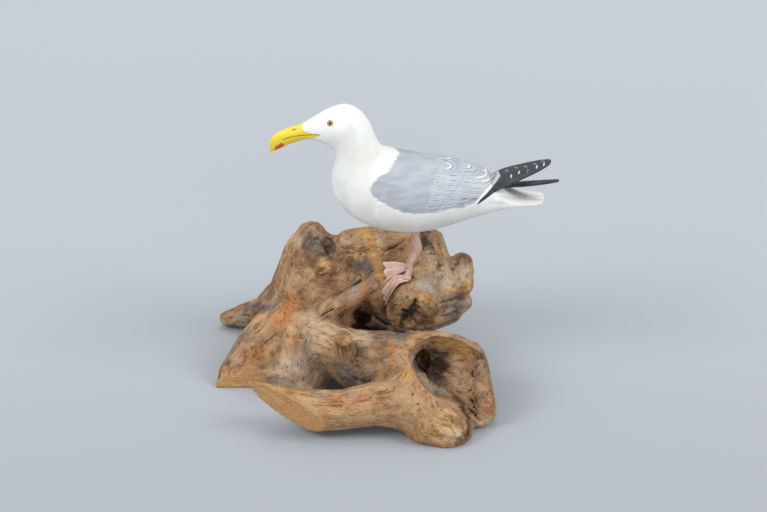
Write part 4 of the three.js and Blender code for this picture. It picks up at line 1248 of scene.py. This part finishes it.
# Materials
class Paint:
    """Short calls for building a material's nodes."""

    def __init__(self, name):
        self.material = bpy.data.materials.new(name)
        self.material.use_nodes = True
        self.tree = self.material.node_tree
        self.shader = self.tree.nodes["Principled BSDF"]

    def feed(self, socket, value):
        if isinstance(value, bpy.types.NodeSocket):
            self.tree.links.new(value, socket)
        elif value is not None:
            socket.default_value = value

    def attribute(self, name, output="Fac"):
        node = self.tree.nodes.new("ShaderNodeAttribute")
        node.attribute_name = name
        return node.outputs[output]

    def math(self, kind, a, b=None):
        node = self.tree.nodes.new("ShaderNodeMath")
        node.operation = kind
        for socket, value in zip(node.inputs, (a, b)):
            self.feed(socket, value)
        return node.outputs[0]

    def step(self, value, low, high, start=0.0, end=1.0):
        """From start to end as the value goes from low to high."""
        node = self.tree.nodes.new("ShaderNodeMapRange")
        node.interpolation_type = "SMOOTHSTEP"
        for socket, number in zip(node.inputs, (value, low, high, start, end)):
            self.feed(socket, number)
        return node.outputs[0]

    def mix(self, share, a, b, kind="MIX"):
        node = self.tree.nodes.new("ShaderNodeMix")
        node.data_type = "RGBA"
        node.blend_type = kind
        self.feed(node.inputs[0], share)
        self.feed(node.inputs[6], a)
        self.feed(node.inputs[7], b)
        return node.outputs[2]

    def forms(self, colour, table):
        """Lays painted forms over a colour, each from its own attribute."""
        for label, faded, full, strength, paint in table:
            shows = self.step(self.attribute(label), faded, full, 0.0, strength)
            colour = self.mix(shows, colour, light(*paint))
        return colour

    def noise(self, place, scale, detail=3.0, stretch=(1, 1, 1)):
        mapping = self.tree.nodes.new("ShaderNodeMapping")
        self.feed(mapping.inputs["Vector"], place)
        mapping.inputs["Scale"].default_value = stretch
        node = self.tree.nodes.new("ShaderNodeTexNoise")
        self.feed(node.inputs["Vector"], mapping.outputs[0])
        node.inputs["Scale"].default_value = scale
        node.inputs["Detail"].default_value = detail
        return node.outputs["Fac"]

    def place(self):
        """The point's own place on the object, in metres."""
        return self.tree.nodes.new("ShaderNodeTexCoord").outputs["Object"]

    def axis(self, vector, name):
        node = self.tree.nodes.new("ShaderNodeSeparateXYZ")
        self.feed(node.inputs[0], vector)
        return node.outputs[name]

    def bump(self, height, distance, before=None):
        node = self.tree.nodes.new("ShaderNodeBump")
        node.inputs["Distance"].default_value = distance
        self.feed(node.inputs["Height"], height)
        self.feed(node.inputs["Normal"], before)
        return node.outputs[0]

    def finish(self, colour, roughness, normal=None, specular=0.5):
        self.feed(self.shader.inputs["Base Color"], colour)
        self.feed(self.shader.inputs["Roughness"], roughness)
        self.feed(self.shader.inputs["Normal"], normal)
        self.shader.inputs["Specular IOR Level"].default_value = specular
        return self.material


def light(*colour):
    return (*linear(colour), 1.0)


def wood_material():
    p = Paint("weathered_driftwood")
    tone = p.attribute("tone", "Color")
    grain = p.attribute("grain", "Vector")
    streak = p.attribute("streak")
    wide = p.noise(grain, 0.5, 3.0)
    fine = p.noise(grain, 1.5, 4.0)
    thin = p.noise(grain, 4.0, 3.0)
    speck = p.noise(p.place(), 900, 2.0)
    cloud = p.noise(p.place(), 170, 3.0)
    clouded = p.mix(1.0, tone, light(226, 198, 172), "MULTIPLY")
    colour = p.mix(p.step(cloud, 0.4, 0.7, 0.0, 0.5), tone, clouded)
    shade = p.math("MULTIPLY", streak, 0.22)
    for grain_noise, amount in ((fine, 1.2), (thin, 0.8), (wide, 1.0)):
        shade = p.math("ADD", shade, p.math("MULTIPLY", p.math("SUBTRACT", grain_noise, 0.5), amount))
    darker = p.mix(1.0, colour, light(168, 150, 136), "MULTIPLY")
    colour = p.mix(p.step(shade, 0.0, -0.4, 0.0, 0.9), colour, p.mix(0.25, darker, light(72, 56, 44)))
    colour = p.mix(p.step(shade, 0.05, 0.5, 0.0, 0.45), colour, light(220, 192, 158))
    rough = p.step(p.attribute("rough"), 0.3, 0.9, 0.15, 1.0)
    speckled = p.math("MULTIPLY", p.step(speck, 0.64, 0.7, 0.0, 0.45), rough)
    colour = p.mix(speckled, colour, light(66, 48, 36))
    line = p.math("ABSOLUTE", p.math("SUBTRACT", p.noise(grain, 0.34, 2.0), 0.5))
    mask = p.math("MULTIPLY", p.step(cloud, 0.45, 0.6), rough)
    drawn = p.math("MULTIPLY", p.step(line, 0.014, 0.004, 0.0, 0.8), mask)
    colour = p.mix(drawn, colour, light(52, 38, 29))
    check = p.math("MULTIPLY", p.math("MULTIPLY", p.attribute("check"), 0.6), rough)
    colour = p.mix(check, colour, light(60, 44, 33))
    sawn = p.attribute("sawn")
    fresh = p.mix(p.step(fine, 0.4, 0.6), light(226, 178, 122), light(194, 140, 86))
    colour = p.mix(p.math("MULTIPLY", sawn, 0.75), colour, fresh)
    # Painted shade: the colour darkens toward deep brown where the wood is enclosed, in hollows, grooves
    # and the bore
    hollow_shade = p.step(p.attribute("open_shade"), 0.55, 0.05, 0.0, 0.75)
    colour = p.mix(hollow_shade, colour, light(40, 28, 20))
    ragged = p.math("ADD", p.attribute("crack"), p.math("MULTIPLY", p.math("SUBTRACT", speck, 0.5), 0.8))
    colour = p.mix(p.step(ragged, 0.15, -0.25, 0.0, 0.92), colour, light(26, 18, 13))
    height = p.math("ADD", p.math("MULTIPLY", fine, 0.6), p.math("MULTIPLY", thin, 0.4))
    normal = p.bump(height, 0.0011, p.bump(speck, 0.0004))
    roughness = p.step(fine, 0.3, 0.7, 0.9, 0.72)
    return p.finish(colour, roughness, normal, 0.25)


def gull_material():
    p = Paint("painted_gull")
    spot = p.attribute("seen", "Vector")
    brush = p.noise(spot, 1.0, 3.0, (0.09, 0.75, 1.0))
    wash = p.noise(spot, 1.0, 2.0, (0.05, 0.16, 1.0))
    cloud = p.noise(p.place(), 90, 2.0)
    stroke = p.noise(p.place(), 700, 2.0)
    white = p.mix(p.step(cloud, 0.35, 0.7), light(240, 240, 237), light(230, 229, 221))
    mantle = p.mix(p.step(wash, 0.3, 0.7), light(176, 181, 187), light(160, 166, 174))
    ragged = p.math("ADD", p.attribute("mantle"), p.math("MULTIPLY", p.math("SUBTRACT", brush, 0.5), 9.0))
    colour = p.mix(p.step(ragged, -1.0, 1.6), white, mantle)
    colour = p.forms(colour, QUILL_EDGES)
    strength = p.step(p.noise(spot, 0.09, 2.0), 0.35, 0.6, 0.35, 1.0)
    dark_line = p.math("MULTIPLY", p.step(p.attribute("feather"), 0.85, 0.3, 0.0, 0.75), strength)
    colour = p.forms(p.mix(dark_line, colour, light(106, 114, 127)), WING_EDGES)
    black = p.mix(p.step(stroke, 0.4, 0.7), light(42, 44, 50), light(62, 64, 71))
    colour = p.mix(p.step(p.attribute("dark"), -0.35, 0.35), colour, black)
    colour = p.forms(colour, STROKES_BILL_EYE)
    roughness = p.step(p.attribute("eye"), 3.0, 2.6, 0.5, 0.08)
    normal = p.bump(stroke, 0.00012, p.bump(brush, 0.0001))
    return p.finish(colour, roughness, normal, 0.4)


def leg_material():
    p = Paint("painted_legs")
    shade = p.attribute("shade")
    fine = p.noise(p.place(), 1200, 2.0)
    colour = p.mix(p.step(shade, -0.6, 0.8), light(212, 170, 155), light(232, 206, 193))
    colour = p.mix(p.step(p.attribute("toe"), 0.9, 0.3, 0.0, 0.4), colour, light(184, 140, 126))
    colour = p.mix(p.step(p.attribute("edge"), 0.9, 0.3, 0.0, 0.7), colour, light(226, 200, 184))
    colour = p.mix(p.step(fine, 0.55, 0.75, 0.0, 0.5), colour, light(150, 104, 92))
    return p.finish(colour, p.step(fine, 0.3, 0.7, 0.55, 0.4), p.bump(fine, 0.0002), 0.4)


def pin_material():
    p = Paint("old_nail")
    fine = p.noise(p.place(), 1500, 2.0)
    colour = p.mix(p.step(p.attribute("reach"), 0.55, 0.75), light(120, 118, 112), light(34, 32, 32))
    colour = p.mix(p.step(fine, 0.5, 0.7, 0.0, 0.4), colour, light(70, 50, 38))
    p.shader.inputs["Metallic"].default_value = 0.6
    return p.finish(colour, p.step(fine, 0.3, 0.7, 0.6, 0.4), p.bump(fine, 0.0001))


def floor_material():
    p = Paint("pale_paper")
    # Painted shade: the paper is darker toward the front and paler farther back
    away = p.axis(p.place(), "Y")
    colour = p.mix(p.step(away, -0.15, 0.2), light(163, 168, 174), light(178, 183, 189))
    colour = p.mix(p.step(away, 0.15, 0.6), colour, light(190, 195, 201))
    return p.finish(colour, 0.9, p.bump(p.noise(p.place(), 1500, 2.0), 0.00002), 0.2)


# Stage, lights and camera
FLOOR_REACH = 3000
FLOOR_SQUARES = 8
LIGHT_AIM = 0.05
LIGHTS = {
    "left softbox": ((-1.1, -0.5, 1.1), LIGHT_AIM, 0.8, 11.5),
    "right softbox": ((1.2, -0.4, 1.2), LIGHT_AIM, 0.8, 12.8),
    "top softbox": ((0.0, 0.5, 1.8), LIGHT_AIM, 1.4, 10.3),
    "front fill": ((0.1, -1.4, 0.35), 0.08, 1.0, 3.9),
}


def make_floor():
    grid = np.linspace(-FLOOR_REACH, FLOOR_REACH, FLOOR_SQUARES + 1)
    x, y = np.meshgrid(grid, grid, indexing="ij")
    points = np.stack([x.ravel(), y.ravel(), np.zeros(x.size)], axis=1) + ORIGIN
    i, j = np.meshgrid(np.arange(FLOOR_SQUARES), np.arange(FLOOR_SQUARES), indexing="ij")
    near = i * (FLOOR_SQUARES + 1) + j
    far = near + FLOOR_SQUARES + 1
    faces = np.stack([near, far, far + 1, near + 1], axis=-1).reshape(-1, 4)
    floor = mesh_object("floor", points, faces, {})
    floor.data.materials.append(floor_material())


def make_light(name, place, aim_height, size, power):
    """A round lamp that looks at a point above the origin."""
    lamp = bpy.data.lights.new(name, "AREA")
    lamp.shape = "DISK"
    lamp.size = size
    lamp.energy = power
    thing = bpy.data.objects.new(name, lamp)
    thing.location = place
    thing.rotation_euler = (Vector((0, 0, aim_height)) - Vector(place)).to_track_quat("-Z", "Y").to_euler()
    bpy.context.scene.collection.objects.link(thing)


def make_camera():
    data = bpy.data.cameras.new("camera")
    data.lens = LENS
    data.sensor_width = SENSOR
    data.clip_start = 0.01
    data.clip_end = 20
    camera = bpy.data.objects.new("camera", data)
    basis = Matrix([RIGHT, UP, -FORWARD]).transposed().to_4x4()
    basis.translation = Vector((EYE_POINT - ORIGIN) * METRE)
    camera.matrix_world = basis
    bpy.context.scene.collection.objects.link(camera)
    bpy.context.scene.camera = camera


def make_world():
    world = bpy.data.worlds.new("studio")
    world.use_nodes = True
    backdrop = world.node_tree.nodes["Background"]
    backdrop.inputs["Color"].default_value = (0.86, 0.90, 0.95, 1)
    backdrop.inputs["Strength"].default_value = 0.53
    bpy.context.scene.world = world
    bpy.context.scene.view_settings.view_transform = "Standard"


make_camera()
make_world()
make_floor()
for name, settings in LIGHTS.items():
    make_light(name, *settings)

driftwood, wood_points, wood_squares = make_driftwood()
wood_tree = surface_tree(wood_points, wood_squares)
carvings = {"driftwood_stand": driftwood, "gull": make_gull(), "heel_pin": make_pin(wood_tree)}
carvings.update({node: make_leg(node, wood_tree) for node in LEGS})
FINISHES = {
    "driftwood_stand": (wood_material(), "driftwood"),
    "gull": (gull_material(), "painted_carving"),
    "heel_pin": (pin_material(), "pin_metal"),
}
legs_paint = leg_material()
for node, piece in carvings.items():
    material, slot = FINISHES.get(node, (legs_paint, "leg_paint"))
    piece.data.materials.append(material)
    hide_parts(node)
    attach(piece, "root")
